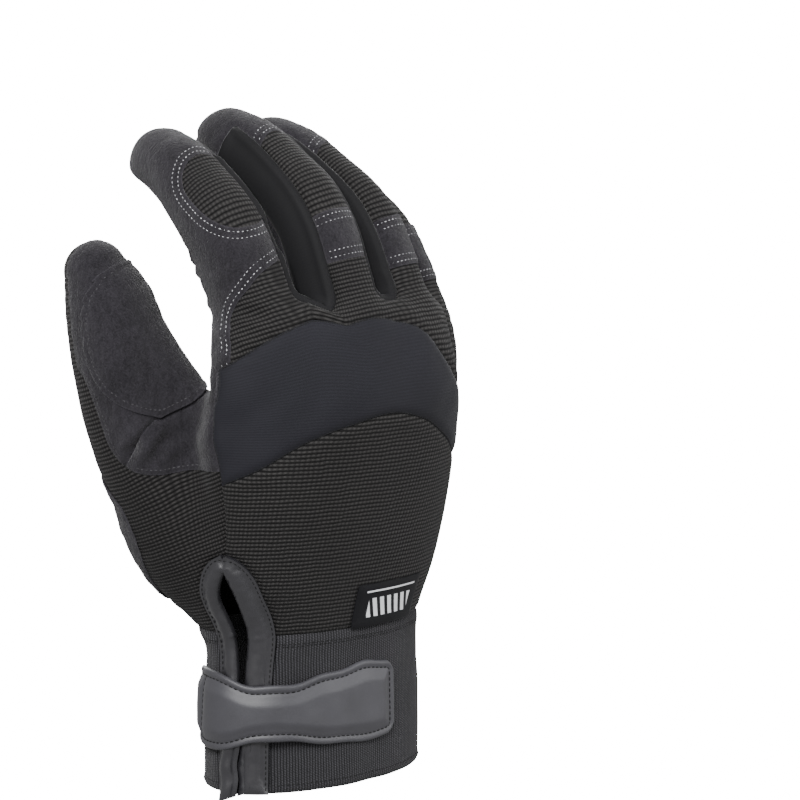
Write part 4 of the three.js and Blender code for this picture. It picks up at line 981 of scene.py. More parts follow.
def wrinkles(points, places):
    """Creases of bent cloth: across the inner side of the finger joints and along short fold lines."""
    x, y, z = points.T
    depth = np.zeros(len(points))
    for finger in FINGERS:
        own = np.exp(-(((x - finger.x) / finger.half_width) ** 4))
        s = (z - finger.z) / finger.length
        for place, amount in INDEX_CREASES if finger is INDEX else CREASES:
            away = (s - place) * finger.length + 1.5 * np.sin(x * 0.35 + place * 9)
            inner = step(y, 0.15 * finger.half_depth, finger.half_depth)
            depth += own * inner * amount * np.cos(away * 0.95) * np.exp(-((away / 6.5) ** 2))
            inner = step(-y, 0.2 * finger.half_depth, finger.half_depth)
            depth += own * inner * 0.12 * np.cos(away * 1.7) * np.exp(-((away / 8) ** 2))
    for line, width, amount in FOLDS:
        line = np.array(line, float)
        nearest, share = np.full(len(places), 1e9), np.zeros(len(places))
        for k, (start, end) in enumerate(zip(line, line[1:])):
            t = np.clip((places - start) @ (end - start) / ((end - start) @ (end - start)), 0, 1)
            away = np.linalg.norm(places - start - t[:, None] * (end - start), axis=1)
            closer = away < nearest
            nearest[closer], share[closer] = away[closer], ((k + t) / (len(line) - 1))[closer]
        taper = np.sin(np.pi * np.clip(share * 0.9 + 0.05, 0, 1)) ** 0.7
        groove = np.exp(-((nearest / width) ** 2))
        shoulder = np.exp(-(((nearest - 2.1 * width) / width) ** 2))
        depth += amount * taper * (groove - 0.55 * shoulder)
    return depth


# Fold lines in the worn shape, each with its width and depth: where the saddle and the web of the
# thumb fold, below the oval on the index finger, and the palm's creases.
FOLDS = (
    (((-64.5, 10, 107), (-62, 8.5, 111), (-59.5, 7, 114)), 1.5, 1.5),
    (((-58.5, 5.5, 105), (-56.5, 4.5, 110), (-53, 2, 114)), 1.8, 1.6),
    (((-54, 2.5, 103), (-51.5, 0, 107), (-50, -2, 111)), 1.6, 0.9),
    (((-50, -12, 153), (-45, -20, 152), (-38, -25, 151)), 1.6, 0.9),
    (((-49, -8, 143), (-46, -17, 141), (-41, -22, 139)), 1.7, 0.8),
    (((-48, 2, 130), (-46, -8, 128), (-43, -14, 127)), 1.8, 0.7),
    (((-42, 25, 113), (-35, 21, 106), (-28, 21, 101)), 2.2, 1.6),
    (((-30, 8, 140), (-34, 14, 126), (-38, 20, 114)), 2.0, 1.0),
    (((-8, 3, 146), (-16, 9, 132), (-28, 15, 118)), 2.0, 1.1),
    (((14, 5, 144), (4, 11, 130), (-10, 16, 116)), 2.0, 0.9),
    (((34, 12, 136), (26, 16, 122), (14, 20, 108)), 2.2, 0.9),
    (((-20, 20, 96), (-24, 24, 84), (-22, 25, 72)), 2.4, 1.0),
    (((6, 19, 84), (-6, 21, 78), (-18, 22, 74)), 2.2, 0.7),
    (((-38, -10, 79), (-42, -6, 86), (-46, -3, 92)), 1.8, 0.5),
    (((-28, -18, 78), (-24, -22, 86), (-22, -24, 92)), 1.8, 0.4),
)

BACK_KNITS = ("back_panel", "upper_back_panel", "index_back", "middle_back", "ring_back", "little_back")
BACK_PIECES = ("_back", "_patch", "upper_back_panel", "fingertip")
RIPPLES = ((1, 0.7, 0.3), (-0.6, 1, 0.5), (0.4, -0.8, 1), (0.9, 0.2, -1), (-1, -0.5, 0.7))


def ripple(points, size):
    """Small irregular unevenness, the same at every run."""
    p = points / size
    total = np.zeros(len(points))
    for k, way in enumerate(RIPPLES):
        pace = 2.1 + 0.63 * k
        total += np.sin(p @ (np.array(way) * pace) + 1.7 * k + np.sin(p[:, k % 3] * 1.3 + k))
    return total / len(RIPPLES)


SEW_ROWS, TUBE_SHARE = (1.4, 3.4), 0.72
for name, panel in panels.items():
    ids, local, edge = panel["ids"], panel["faces"], panel["edge"]
    flat, places = points[ids], placed[ids]
    over = LAID_OVER.get(name, ())
    beneath = [other for other, upon in LAID_OVER.items() if name in upon]
    turned = [other for other in set(panel["beside"]) if other not in over and other not in beneath]
    to_over, to_turned = distance_to(name, *over), distance_to(name, *turned)
    uneven = ripple(flat, 9)
    rise, wall = 0.05, 1.3
    height = -0.8 * np.clip(1 - to_turned / 2.4, 0, 1) ** 2
    if over:
        height += 0.5 * (1 - step(to_over, 7, 15)) * step(to_turned, 0, 8)
        height -= 0.25 * np.clip(1 - to_over / 0.7, 0, 1) ** 2
        for row in SEW_ROWS:
            height -= 0.16 * np.exp(-(((to_over - row) / 0.45) ** 2))
        height += 0.1 * ripple(flat, 3.2) * np.exp(-to_over / 4)
    if name.startswith("fourchette"):
        backs = [other for other in panels if other.endswith(BACK_PIECES)]
        height += 0.9 * np.exp(-(((distance_to(name, *backs) - 1.9) / 1.4) ** 2))
    if name in COVERS:
        rise, wall = (0.85, 0.5) if name == "label" else (1.0, 0.7)
        height = -0.3 * np.clip(1 - edge / 0.7, 0, 1) ** 2
        height -= 0 if name == "label" else 0.3 * np.exp(-(((edge - 1.9) / 0.6) ** 2))
    if name == "knuckle_band":
        rise, wall = 0.25, 1.8
        height = -1.0 * np.clip(1 - edge / 3, 0, 1) ** 2
    if name == "slit_binding":
        outer_edge = distance_to(name, "back_panel", "thumb_back", "cuff_band", "palm_panel")
        inner_edge = distance_to(name, "")
        share = inner_edge / np.maximum(inner_edge + outer_edge, 0.1)
        crumple = ripple(places * (1, 1, 1.6), 3.0)
        tube = np.sqrt(np.clip(1 - (2 * np.clip(share / TUBE_SHARE, 0, 1) - 1) ** 2, 0, 1))
        flange = 0.35 * step(share, TUBE_SHARE, TUBE_SHARE + 0.1)
        height = 0.3 + np.where(share < TUBE_SHARE, (1.3 + 0.25 * crumple) * tube, flange)
        rise, wall = 0.3, 1.2
    if name == "cuff_band":
        hem = distance_to(name, "")
        height += 0.55 * np.exp(-(((hem - 1.1) / 1.0) ** 2)) - 0.15 * np.exp(-(((hem - 2.6) / 0.5) ** 2))
        height += 0.5 * ripple(flat * (1, 1, 0.4), 11)
    if name not in ("slit_binding", "label"):
        height -= wrinkles(flat, places)
        height += (0.1 if name in ("cuff_band", *BACK_KNITS) else 0.22) * uneven
    outer = places + normals[ids] * (rise + height)[:, None]
    lift = 0.3 if name in COVERS else np.minimum(rise + height, rise) - wall
    inner = places + normals[ids] * np.broadcast_to(lift, len(ids))[:, None]
    count = len(ids)
    rim = [(b, a, a + count) for a, b, _ in panel["borders"]]
    rim += [(b, a + count, b + count) for a, b, _ in panel["borders"]]
    corners = np.concatenate([local, local[:, ::-1] + count, rim])
    piece = new_object(name + "_cloth", np.concatenate([outer, inner]), corners)
    panel.update(outer=outer, normals=normals_of(outer, local), piece=piece, flat=flat)


# Weave lines: how far each place lies round its section and along the hand, finger or thumb, in
# millimetres, so that the knit follows the cloth.
WEAVE_START, WEAVE_END, ROWS, TURNS = -6, 170, 60, 240
heights = np.linspace(WEAVE_START, WEAVE_END, ROWS)
turns = np.linspace(-math.pi, math.pi, TURNS + 1)
wide, deep = half_sizes(turns[:, None] < 0, np.abs(turns)[:, None] < math.pi / 2, heights)
rounds = np.stack((wide * np.sin(turns)[:, None], -deep * np.cos(turns)[:, None]), -1)
runs = np.linalg.norm(np.diff(rounds, axis=0), axis=-1)
lengths = np.concatenate([np.zeros((1, ROWS)), np.cumsum(runs, 0)])
lengths -= lengths[TURNS // 2]


def hand_weave(flat):
    x, y, z = flat.T
    wide, deep = half_sizes(x < 0, y < 0, z)
    at = (np.arctan2(x / wide, -y / deep) + math.pi) / (2 * math.pi) * TURNS
    up = np.clip((z - WEAVE_START) / (WEAVE_END - WEAVE_START) * (ROWS - 1), 0, ROWS - 1.001)
    i, j = np.minimum(at.astype(int), TURNS - 1), up.astype(int)
    s, t = at - i, up - j
    u = mix(mix(lengths[i, j], lengths[i + 1, j], s), mix(lengths[i, j + 1], lengths[i + 1, j + 1], s), t)
    return np.column_stack((u, z, 0 * z))


def finger_weave(flat, finger):
    x, y, z = flat.T
    turn = np.arctan2((x - finger.x) / finger.half_width, np.maximum(-y / finger.half_depth, 0.05))
    return np.column_stack((turn * finger.half_width, z, 0 * z))


def thumb_weave(flat):
    root, top = THUMB_LINE[[2, 18]]
    axis = (top - root) / np.linalg.norm(top - root)
    from_root = flat - root
    up = from_root @ axis
    away = from_root - up[:, None] * axis
    return np.column_stack((np.arctan2(away[:, 1], -away[:, 0]) * np.linalg.norm(away, axis=1), up, 0 * up))


for name, panel in panels.items():
    flat = panel["flat"]
    if name.startswith("thumb"):
        weave = thumb_weave(flat)
    elif name.endswith("_back") or name.endswith("fingertip"):
        weave = finger_weave(flat, next(finger for finger in FINGERS if name.startswith(finger.name)))
    else:
        weave = hand_weave(flat)
    set_attribute(panel["piece"], "weave", np.concatenate([weave, weave]))
    set_attribute(panel["piece"], "edge", np.r_[panel["edge"], panel["edge"]])


# Knit back of the glove: the panels below and above the knuckle band, the backs of three fingers
# and the oval let into the index finger. It is one waffle knit of dark yarn, sewn in at its edges.
# The back of the thumb is the same knit with deeper cells.
class Value:
    """A shader socket that can be added, multiplied and so on."""

    def __init__(self, tree, socket):
        self.tree, self.socket = tree, socket

    def math(self, operation, *others, clamp=False):
        node = self.tree.nodes.new("ShaderNodeMath")
        node.operation, node.use_clamp = operation, clamp
        for n, value in enumerate((self, *others)):
            if isinstance(value, Value):
                self.tree.links.new(value.socket, node.inputs[n])
            else:
                node.inputs[n].default_value = value
        return Value(self.tree, node.outputs[0])

    def __add__(self, other):
        return self.math("ADD", other)

    def __sub__(self, other):
        return self.math("SUBTRACT", other)

    def __rsub__(self, other):
        return self.math("MULTIPLY_ADD", -1, other)

    def __mul__(self, other):
        return self.math("MULTIPLY", other)

    def __truediv__(self, other):
        return self.math("DIVIDE", other)

    def __pow__(self, other):
        return self.math("POWER", other)

    __radd__, __rmul__ = __add__, __mul__

    def wave(self, pitch):
        """0 to 1 and back within each pitch."""
        return (self * (2 * math.pi / pitch)).math("COSINE") * 0.5 + 0.5

    def between(self, low, high):
        return ((self - low) / (high - low)).math("MULTIPLY", 1, clamp=True)


class Cloth:
    """One material: a principled shader with the values that its colour and bump are made from."""

    def __init__(self, name, **constants):
        self.material = bpy.data.materials.new(name)
        self.material.use_nodes = True
        self.tree = self.material.node_tree
        self.shader = self.tree.nodes["Principled BSDF"]
        self.fill(self.shader, {key.replace("_", " "): value for key, value in constants.items()})
        self.place = self.node("ShaderNodeTexCoord", "Object")

    def fill(self, node, sockets):
        for name, value in sockets.items():
            if isinstance(value, Value):
                self.tree.links.new(value.socket, node.inputs[name])
            else:
                node.inputs[name].default_value = value

    def node(self, kind, output, settings=(), sockets=()):
        """The value of one new node, with its settings and the values or links of its sockets."""
        node = self.tree.nodes.new(kind)
        for key, value in dict(settings).items():
            setattr(node, key, value)
        self.fill(node, dict(sockets))
        return Value(self.tree, node.outputs[output])

    def weave(self):
        lines = self.node("ShaderNodeAttribute", "Vector", {"attribute_name": "weave"})
        return [self.node("ShaderNodeSeparateXYZ", axis, sockets={0: lines}) for axis in "XY"]

    def edge(self):
        return self.node("ShaderNodeAttribute", "Fac", {"attribute_name": "edge"})

    def noise(self, size, detail=2.0, rough=0.5, stretch=None, warp=0.0):
        """Noise from 0 to 1 with blotches of the given size in millimetres."""
        place = self.place
        if stretch:
            place = self.node("ShaderNodeMapping", "Vector", sockets={"Vector": place, "Scale": stretch})
        return self.node("ShaderNodeTexNoise", "Fac", sockets={
            "Vector": place, "Scale": 1000 / size, "Detail": detail, "Roughness": rough, "Distortion": warp,
        })

    def mixed(self, share, low, high):
        sockets = {"Factor": share, 6: (*low, 1), 7: (*high, 1)}
        return self.node("ShaderNodeMix", 2, {"data_type": "RGBA"}, sockets)

    def finish(self, colour, height=None, reach=0.3, strength=1.0, roughness=None):
        self.fill(self.shader, {"Base Color": colour})
        if roughness:
            self.fill(self.shader, {"Roughness": roughness})
        if height:
            sockets = {"Strength": strength, "Distance": reach / 1000, "Height": height}
            self.fill(self.shader, {"Normal": self.node("ShaderNodeBump", "Normal", sockets=sockets)})
        return self.material


def finished(piece, node, material):
    piece.data.materials.append(material)
    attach(piece, "root")
    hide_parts(node)


def knit_material(name, pitch, columns, dark, light):
    """Waffle knit: ribs across the hand, parted into cells by columns along it; its colour is painted
    lighter on the crests and darker in the hollows, as light and shade.
    """
    cloth = Cloth(name, Sheen_Weight=0.04, Sheen_Roughness=0.4, Specular_IOR_Level=0.15)
    u, v = cloth.weave()
    u, v = u + (cloth.noise(7) - 0.5) * 0.7, v + (cloth.noise(9, warp=0.4) - 0.5) * 0.8
    rib, cell = v.wave(pitch) ** 0.7, u.wave(pitch) ** 0.8
    height = rib * (cell * columns + (1 - columns))
    fibre = cloth.noise(0.35, 3)
    worn = cloth.noise(26, 3) * 0.5 + 0.72
    # The colour follows the height of ribs and cells: painted highlight on the crests and painted shade in
    # the hollows, with the yarn's fibre and random tone on top.
    share = (height * 0.85 + (fibre - 0.5) * 0.5) * worn
    colour = cloth.mixed(share.between(0.05, 0.95), dark, light)
    return cloth.finish(colour, height + fibre * 0.25, 0.42, 0.9, 0.95 - height * 0.15)


KNIT = knit_material("waffle_knit", 1.27, 0.5, (0.0018, 0.0017, 0.0018), (0.0315, 0.03, 0.0295))
FINE_KNIT = knit_material("waffle_knit_thumb", 1.27, 0.55, (0.0018, 0.0017, 0.0018), (0.03, 0.0282, 0.028))
for name in BACK_KNITS:
    finished(panels[name]["piece"], name, KNIT)
finished(panels["thumb_back"]["piece"], "thumb_back", FINE_KNIT)


# Cuff band: a tube of elastic knit round the wrist, with fine upright ribs and a rolled hem. It is
# sewn to the hand's panels with two rows and open along the slit.
def cuff_material():
    """Elastic band knit: fine upright ribs with a slight twill across them, painted lighter on their crests
    and darker in their hollows as light and shade.
    """
    cloth = Cloth("elastic_knit", Sheen_Weight=0.05, Sheen_Roughness=0.4, Specular_IOR_Level=0.2)
    u, v = cloth.weave()
    u = u + (cloth.noise(5) - 0.5) * 0.35
    rib = u.wave(0.95) ** 0.8
    twill = (u * 0.6 + v).wave(0.8)
    fibre = cloth.noise(0.3, 3)
    height = rib * 0.5 + twill * rib * 0.55
    # The colour follows the height of the ribs and twill: painted highlight on the crests and painted shade
    # in the hollows, with fibre and random tone.
    share = (height * 0.8 + fibre * 0.4 - 0.2) * (cloth.noise(18, 3) * 0.5 + 0.75)
    colour = cloth.mixed(share.between(0, 1), (0.0025, 0.0024, 0.003), (0.043, 0.042, 0.047))
    return cloth.finish(colour, height + fibre * 0.2, 0.3, 0.8, 0.9 - height * 0.1)


ELASTIC = cuff_material()
finished(panels["cuff_band"]["piece"], "cuff_band", ELASTIC)


# Knuckle band: close smooth stretch fabric over a thin pad, which curves over the knuckles. It is
# turned in and sewn with dark thread along both edges.
def smooth_material(name, dark, light, ribs):
    """Close smooth stretch fabric with faint fine ribs, painted faintly lighter on their crests and darker
    between them as light and shade.
    """
    cloth = Cloth(name, Sheen_Weight=0.06, Sheen_Roughness=0.35, Specular_IOR_Level=0.15)
    v = cloth.weave()[1]
    rib = (v + (cloth.noise(12) - 0.5) * 0.5).wave(0.85)
    grain = cloth.noise(0.4, 3)
    broad = cloth.noise(30, 2)
    # The ribs add painted light and shade to the colour: lighter crests, darker between them. The grain and
    # the broad tone are the cloth's own.
    share = grain * 0.5 + broad * 0.6 + rib * ribs - 0.15
    colour = cloth.mixed(share.between(0, 1), dark, light)
    return cloth.finish(colour, rib * ribs + grain * 0.35, 0.14, 0.7, (grain * 0.15) + 0.72)


BAND_CLOTH = smooth_material("smooth_band", (0.0042, 0.0042, 0.0058), (0.0135, 0.0134, 0.0176), 0.22)
finished(panels["knuckle_band"]["piece"], "knuckle_band", BAND_CLOTH)

# Fourchettes: strips of thin smooth stretch fabric between neighbouring fingers, sewn to their
# backs and fronts.
SMOOTH = smooth_material("smooth_stretch", (0.003, 0.003, 0.0033), (0.0095, 0.0094, 0.0105), 0.06)
for name in ("fourchette_index_middle", "fourchette_middle_ring", "fourchette_ring_little"):
    finished(panels[name]["piece"], name, SMOOTH)


# Suede pieces: the palm with the fronts of the fingers, the face of the thumb, the patches over
# knuckles and fingertips, and the patches on the thumb and its heel. They are brushed synthetic
# suede, cut to size and sewn on top with their cut edges open.
def suede_material(name, dark, light):
    """Brushed synthetic suede: fine nap, brushed patches and a painted highlight along the cut edge."""
    cloth = Cloth(name, Sheen_Weight=0.1, Sheen_Roughness=0.5, Specular_IOR_Level=0.08)
    nap = cloth.noise(0.55, 4, 0.65)
    brushed = cloth.noise(1.9, 3, 0.6, stretch=(1, 1, 0.5), warp=1.0)
    patches = cloth.noise(17, 3)
    share = nap * 0.9 + brushed * 0.6 + patches * 0.45 - 0.52
    edge = cloth.edge()
    # Painted highlight: the colour is lighter within 0.55 mm of the cut edge.
    share = share + (1 - edge / 0.55).math("MAXIMUM", 0.0) * 0.3
    colour = cloth.mixed(share.between(0.05, 0.95), dark, light)
    return cloth.finish(colour, nap * 0.8 + brushed * 0.8, 0.55, 1.0, (nap * 0.1) + 0.88)


SUEDE = suede_material("suede", (0.0018, 0.0017, 0.0021), (0.0305, 0.0282, 0.0335))
for name in (*LAID_OVER, "thumb_patch", "heel_patch"):
    finished(panels[name]["piece"], name, SUEDE)


# Slit binding: a folded strip of coated fabric round the edge of the slit, sewn on with one row.
# Its two ends are loose folded strips that hang down from the slit, behind the strap, the front
# one a little below the hem.
def coated_material(name, base, light, rough):
    """Coated fabric with a fine grain and a soft shine."""
    cloth = Cloth(name, Specular_IOR_Level=0.5)
    grain, broad = cloth.noise(0.5, 4, 0.6), cloth.noise(9, 3)
    colour = cloth.mixed((broad * 0.7 + grain * 0.3).between(0.2, 0.8), base, light)
    return cloth.finish(colour, grain * 0.6 + broad * 0.5, 0.1, 0.6, broad * 0.12 + grain * 0.1 + rough)


COATED = coated_material("coated_fabric", (0.009, 0.0087, 0.0105), (0.017, 0.0164, 0.0192), 0.31)
finished(panels["slit_binding"]["piece"], "slit_binding", COATED)
END_PROFILE = np.array((
    (-1, 0), (-0.92, 0.5), (-0.55, 0.95), (0, 1.15), (0.35, 0.55), (0.7, 0.85), (1, 0.3), (0.9, -0.2),
))
END_START, END_STEPS = 34, 26
OUT_OF_SLIT, ACROSS_SLIT = np.array((-0.93, -0.37, 0)), np.array((0.37, -0.93, 0))


def folded_end(name, shift, width, end_height, lean, rise):
    levels = np.linspace(END_START, end_height, END_STEPS)
    rings = []
    for z in levels:
        share = (END_START - z) / (END_START - end_height)
        y = slit_middle(max(z, 0))
        wide, deep = column(HAND, "z", "thumb_side", z), column(HAND, "z", "back", z)
        x = -wide * (1 - abs(y / deep) ** CUFF_POWER) ** (1 / CUFF_POWER)
        swing = shift + lean * share + 0.35 * math.sin(z * 0.5)
        thick = 1.5 + 0.25 * math.sin(z * 0.9)
        ring = np.array((x, y, z)) + np.outer(END_PROFILE[:, 0] * width / 2 + swing, ACROSS_SLIT)
        ring += np.outer(END_PROFILE[:, 1] * thick + rise, OUT_OF_SLIT)
        ring[:, 2] += 0.2 * END_PROFILE[:, 0] * share * width
        rings.append(ring)
    count = len(END_PROFILE)
    corners = []
    for k in range(len(levels) - 1):
        for n in range(count):
            a, b = k * count + n, k * count + (n + 1) % count
            corners += [(a, b, b + count), (a, b + count, a + count)]
    last = (len(levels) - 1) * count
    for n in range(1, count - 1):
        corners += [(0, n + 1, n), (last, last + n, last + n + 1)]
    piece = new_object(name, posed(np.concatenate(rings)), np.array(corners))
    piece.data.materials.append(COATED)
    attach(piece, "root")


folded_end("binding_end_front", shift=-1.6, width=6.4, end_height=-1.6, lean=-1.8, rise=1.5)
folded_end("binding_end_back", shift=2.2, width=5.6, end_height=0.3, lean=-0.6, rise=-0.6)

# Wrist strap: padded coated fabric with a stitched border, laid round the cuff and bowed up over
# the slit, narrower where it bends.
STRAP_WIDTH, STRAP_LENGTH, STRAP_HEIGHT = 25, 81, 0.52 * CUFF_HEIGHT
STRAP = table(
    "along width lift",
    (0, 0.66, 0),
    (0.04, 0.9, 0),
    (0.1, 1, 0),
    (0.2, 1, 0.5),
    (0.27, 0.95, 0.9),
    (0.37, 0.72, 1),
    (0.48, 0.7, 1),
    (0.62, 0.9, 0.3),
    (0.74, 0.97, 0),
    (0.95, 0.99, 0),
    (1, 0.84, 0),
)


def cuff_place(turn, z, away):
    turn, z, away = np.broadcast_arrays(turn, z, away)
    wide, deep = half_sizes(np.cos(turn) < 0, np.sin(turn) < 0, z)
    bent = [np.sign(value) * np.abs(value) ** (2 / CUFF_POWER) for value in (np.cos(turn), np.sin(turn))]
    outward = np.column_stack((np.cos(turn) / wide, np.sin(turn) / deep, 0 * z))
    outward /= np.linalg.norm(outward, axis=1)[:, None]
    return posed(np.column_stack((wide * bent[0], deep * bent[1], z)) + outward * away[:, None])


STRAP_START, STRAP_TURN = math.radians(145), math.radians(220)
turn_line = STRAP_START + np.linspace(0, STRAP_TURN, 401)
round_line = cuff_place(turn_line, STRAP_HEIGHT, 0.0)
length_line = np.r_[0, np.cumsum(np.linalg.norm(np.diff(round_line, axis=0), axis=1))]
STEPS, LINES = 190, 52
along = np.linspace(0, 1, STEPS + 1)
half = STRAP_WIDTH / 2 * column(STRAP, "along", "width", along)
from_ends = np.minimum(along, 1 - along) * STRAP_LENGTH
round_corner, strap_seam, strap_row = 3.2, 2.3, 11.5
half -= round_corner - np.sqrt(round_corner**2 - np.clip(round_corner - from_ends, 0, round_corner) ** 2)
across = np.linspace(-1, 1, LINES + 1)
grid_along, grid_across = np.meshgrid(along, across, indexing="ij")
from_side = half[:, None] * (1 - np.abs(grid_across))
border = np.minimum(from_side, np.broadcast_to(from_ends[:, None], from_side.shape))
along_strap = grid_along * STRAP_LENGTH - 0.8 * grid_across
fold_line = np.abs(along_strap - strap_row)
puff = 1.05 * step(border, 2.6, 6.5) * (1 - 0.5 * np.exp(-((fold_line / 2.2) ** 2)))
groove = 0.4 * np.exp(-(((border - strap_seam) / 0.55) ** 2))
groove += 0.35 * np.exp(-((fold_line / 0.6) ** 2)) * (border > 2)
edge_round = 0.5 * np.clip(1 - border / 0.8, 0, 1) ** 2
lift = 0.3 + 2.2 * np.maximum(column(STRAP, "along", "lift", along), 0)
wave = 0.35 * np.sin(along * 17) * step(along, 0.05, 0.2) + 0.25 * np.sin(along * 31 + 1)
height = lift[:, None] + 1.15 + puff - groove - edge_round
flat_strap = np.stack((grid_along * STRAP_LENGTH, grid_across * 12, 0 * grid_along), -1).reshape(-1, 3)
height += 0.12 * ripple(flat_strap, 7).reshape(height.shape)
strap_turn = np.interp(along * STRAP_LENGTH, length_line, turn_line)
strap_z = STRAP_HEIGHT + half[:, None] * grid_across + wave[:, None] * (0.4 + grid_across)
strap_z -= 0.28 * (1 - along[:, None]) * np.sign(grid_across)
turn_grid, lift_grid = (np.broadcast_to(line[:, None], height.shape).ravel() for line in (strap_turn, lift))
strap_outer = cuff_place(turn_grid, strap_z.ravel(), height.ravel())
strap_inner = cuff_place(turn_grid, strap_z.ravel(), lift_grid)
count = len(strap_outer)
ids = np.arange(count).reshape(height.shape)
a, b, c, d = ids[:-1, :-1].ravel(), ids[1:, :-1].ravel(), ids[1:, 1:].ravel(), ids[:-1, 1:].ravel()
top = np.concatenate([np.column_stack((a, b, c)), np.column_stack((a, c, d))])
loop = np.r_[ids[:-1, 0], ids[-1, :-1], ids[:0:-1, -1], ids[0, :0:-1]]
after = np.roll(loop, -1)
rim = np.concatenate([
    np.column_stack((after, loop, loop + count)), np.column_stack((after, loop + count, after + count)),
])
corners = np.concatenate([top, top[:, ::-1] + count, rim])
strap = new_object("wrist_strap_padded", np.concatenate([strap_outer, strap_inner]), corners)
strap_uv = np.column_stack((grid_along.ravel() * STRAP_LENGTH, strap_z.ravel(), 0 * grid_along.ravel()))
set_attribute(strap, "weave", np.concatenate([strap_uv, strap_uv]))
set_attribute(strap, "edge", np.r_[border.ravel(), border.ravel()])
STRAP_SKIN = coated_material("coated_strap", (0.021, 0.0206, 0.0245), (0.031, 0.0303, 0.036), 0.43)
finished(strap, "wrist_strap", STRAP_SKIN)


# Label: a woven satin label, sewn on the back of the hand just above the cuff. It has a plain
# light line and a row of slanted bars.
def label_material():
    cloth = Cloth("label_satin", Specular_IOR_Level=0.12)
    u, v = cloth.weave()
    up = v - CUFF_HEIGHT
    side = u - LABEL_SIDE

    def band(value, low, high):
        return value.math("GREATER_THAN", low) * value.math("LESS_THAN", high)

    line = band(up, 11.4, 12.0) * band(side, 3.5, 25)
    bars = band(up, 3.2, 9.4) * band(side, 5, 23.5) * (u + up * 0.35).wave(3.1).math("GREATER_THAN", 0.42)
    share = (line + bars).math("MINIMUM", 1.0) * (u.wave(0.42) * 0.12 + 0.82)
    grain = (v.wave(0.36) + u.wave(0.42)) * 0.5
    colour = cloth.mixed(share, (0.004, 0.004, 0.005), (0.62, 0.62, 0.64))
    return cloth.finish(colour, grain, 0.08, 0.6, grain * 0.1 + 0.5)


LABEL = label_material()
finished(panels["label"]["piece"], "label", LABEL)


# Stitches: light thread along the patches and the suede beside the knit, grey on the thumb and
# dark on the band, the cuff and the strap. A row is a line where the distance to a seam has one
# value; the stitches along it are short rounded pieces of thread, half sunk in the cloth.
def contour(panel, field, level, keep):
    """The lines on a panel where a field has one value, as lists of places and normals."""
    corners = panel["faces"]
    inside = (field > level)[corners]
    links = {}
    for f in np.flatnonzero(inside.any(1) & ~inside.all(1) & keep[corners].all(1)):
        face = corners[f]
        crossed = [n for n in range(3) if inside[f, n] != inside[f, (n + 1) % 3]]
        edges = [tuple(sorted((face[n], face[(n + 1) % 3]))) for n in crossed]
        for one, other in (edges, edges[::-1]):
            links.setdefault(one, []).append(other)
    lines = []
    while links:
        start = next((edge for edge, others in links.items() if len(others) == 1), next(iter(links)))
        chain = [start]
        while chain[-1] in links:
            others = links.pop(chain[-1])
            following = [other for other in others if other in links]
            if not following:
                break
            chain.append(following[0])
        a, b = np.array(chain).T
        share = ((level - field[a]) / (field[b] - field[a]))[:, None]
        outer, outward = panel["outer"], panel["normals"]
        lines.append((mix(outer[a], outer[b], share), mix(outward[a], outward[b], share)))
    return lines


def spaced(line, pitch, length):
    """Centres, directions and outward sides of the stitches along one line."""
    places, outward = line
    for _ in range(3):
        places[1:-1] = (places[:-2] + places[1:-1] * 2 + places[2:]) / 4
    gone = np.r_[0, np.cumsum(np.linalg.norm(np.diff(places, axis=0), axis=1))]
    if gone[-1] < 2 * pitch:
        return []
    at = np.arange(pitch / 2, gone[-1] - length / 2, pitch)
    result = []
    for offset in (-length / 2, length / 2):
        result.append(np.column_stack([np.interp(at + offset, gone, places[:, n]) for n in range(3)]))
    out = np.column_stack([np.interp(at, gone, outward[:, n]) for n in range(3)])
    out /= np.linalg.norm(out, axis=1)[:, None]
    along = result[1] - result[0]
    return [np.concatenate([(result[0] + result[1]) / 2, along, out], axis=1)]


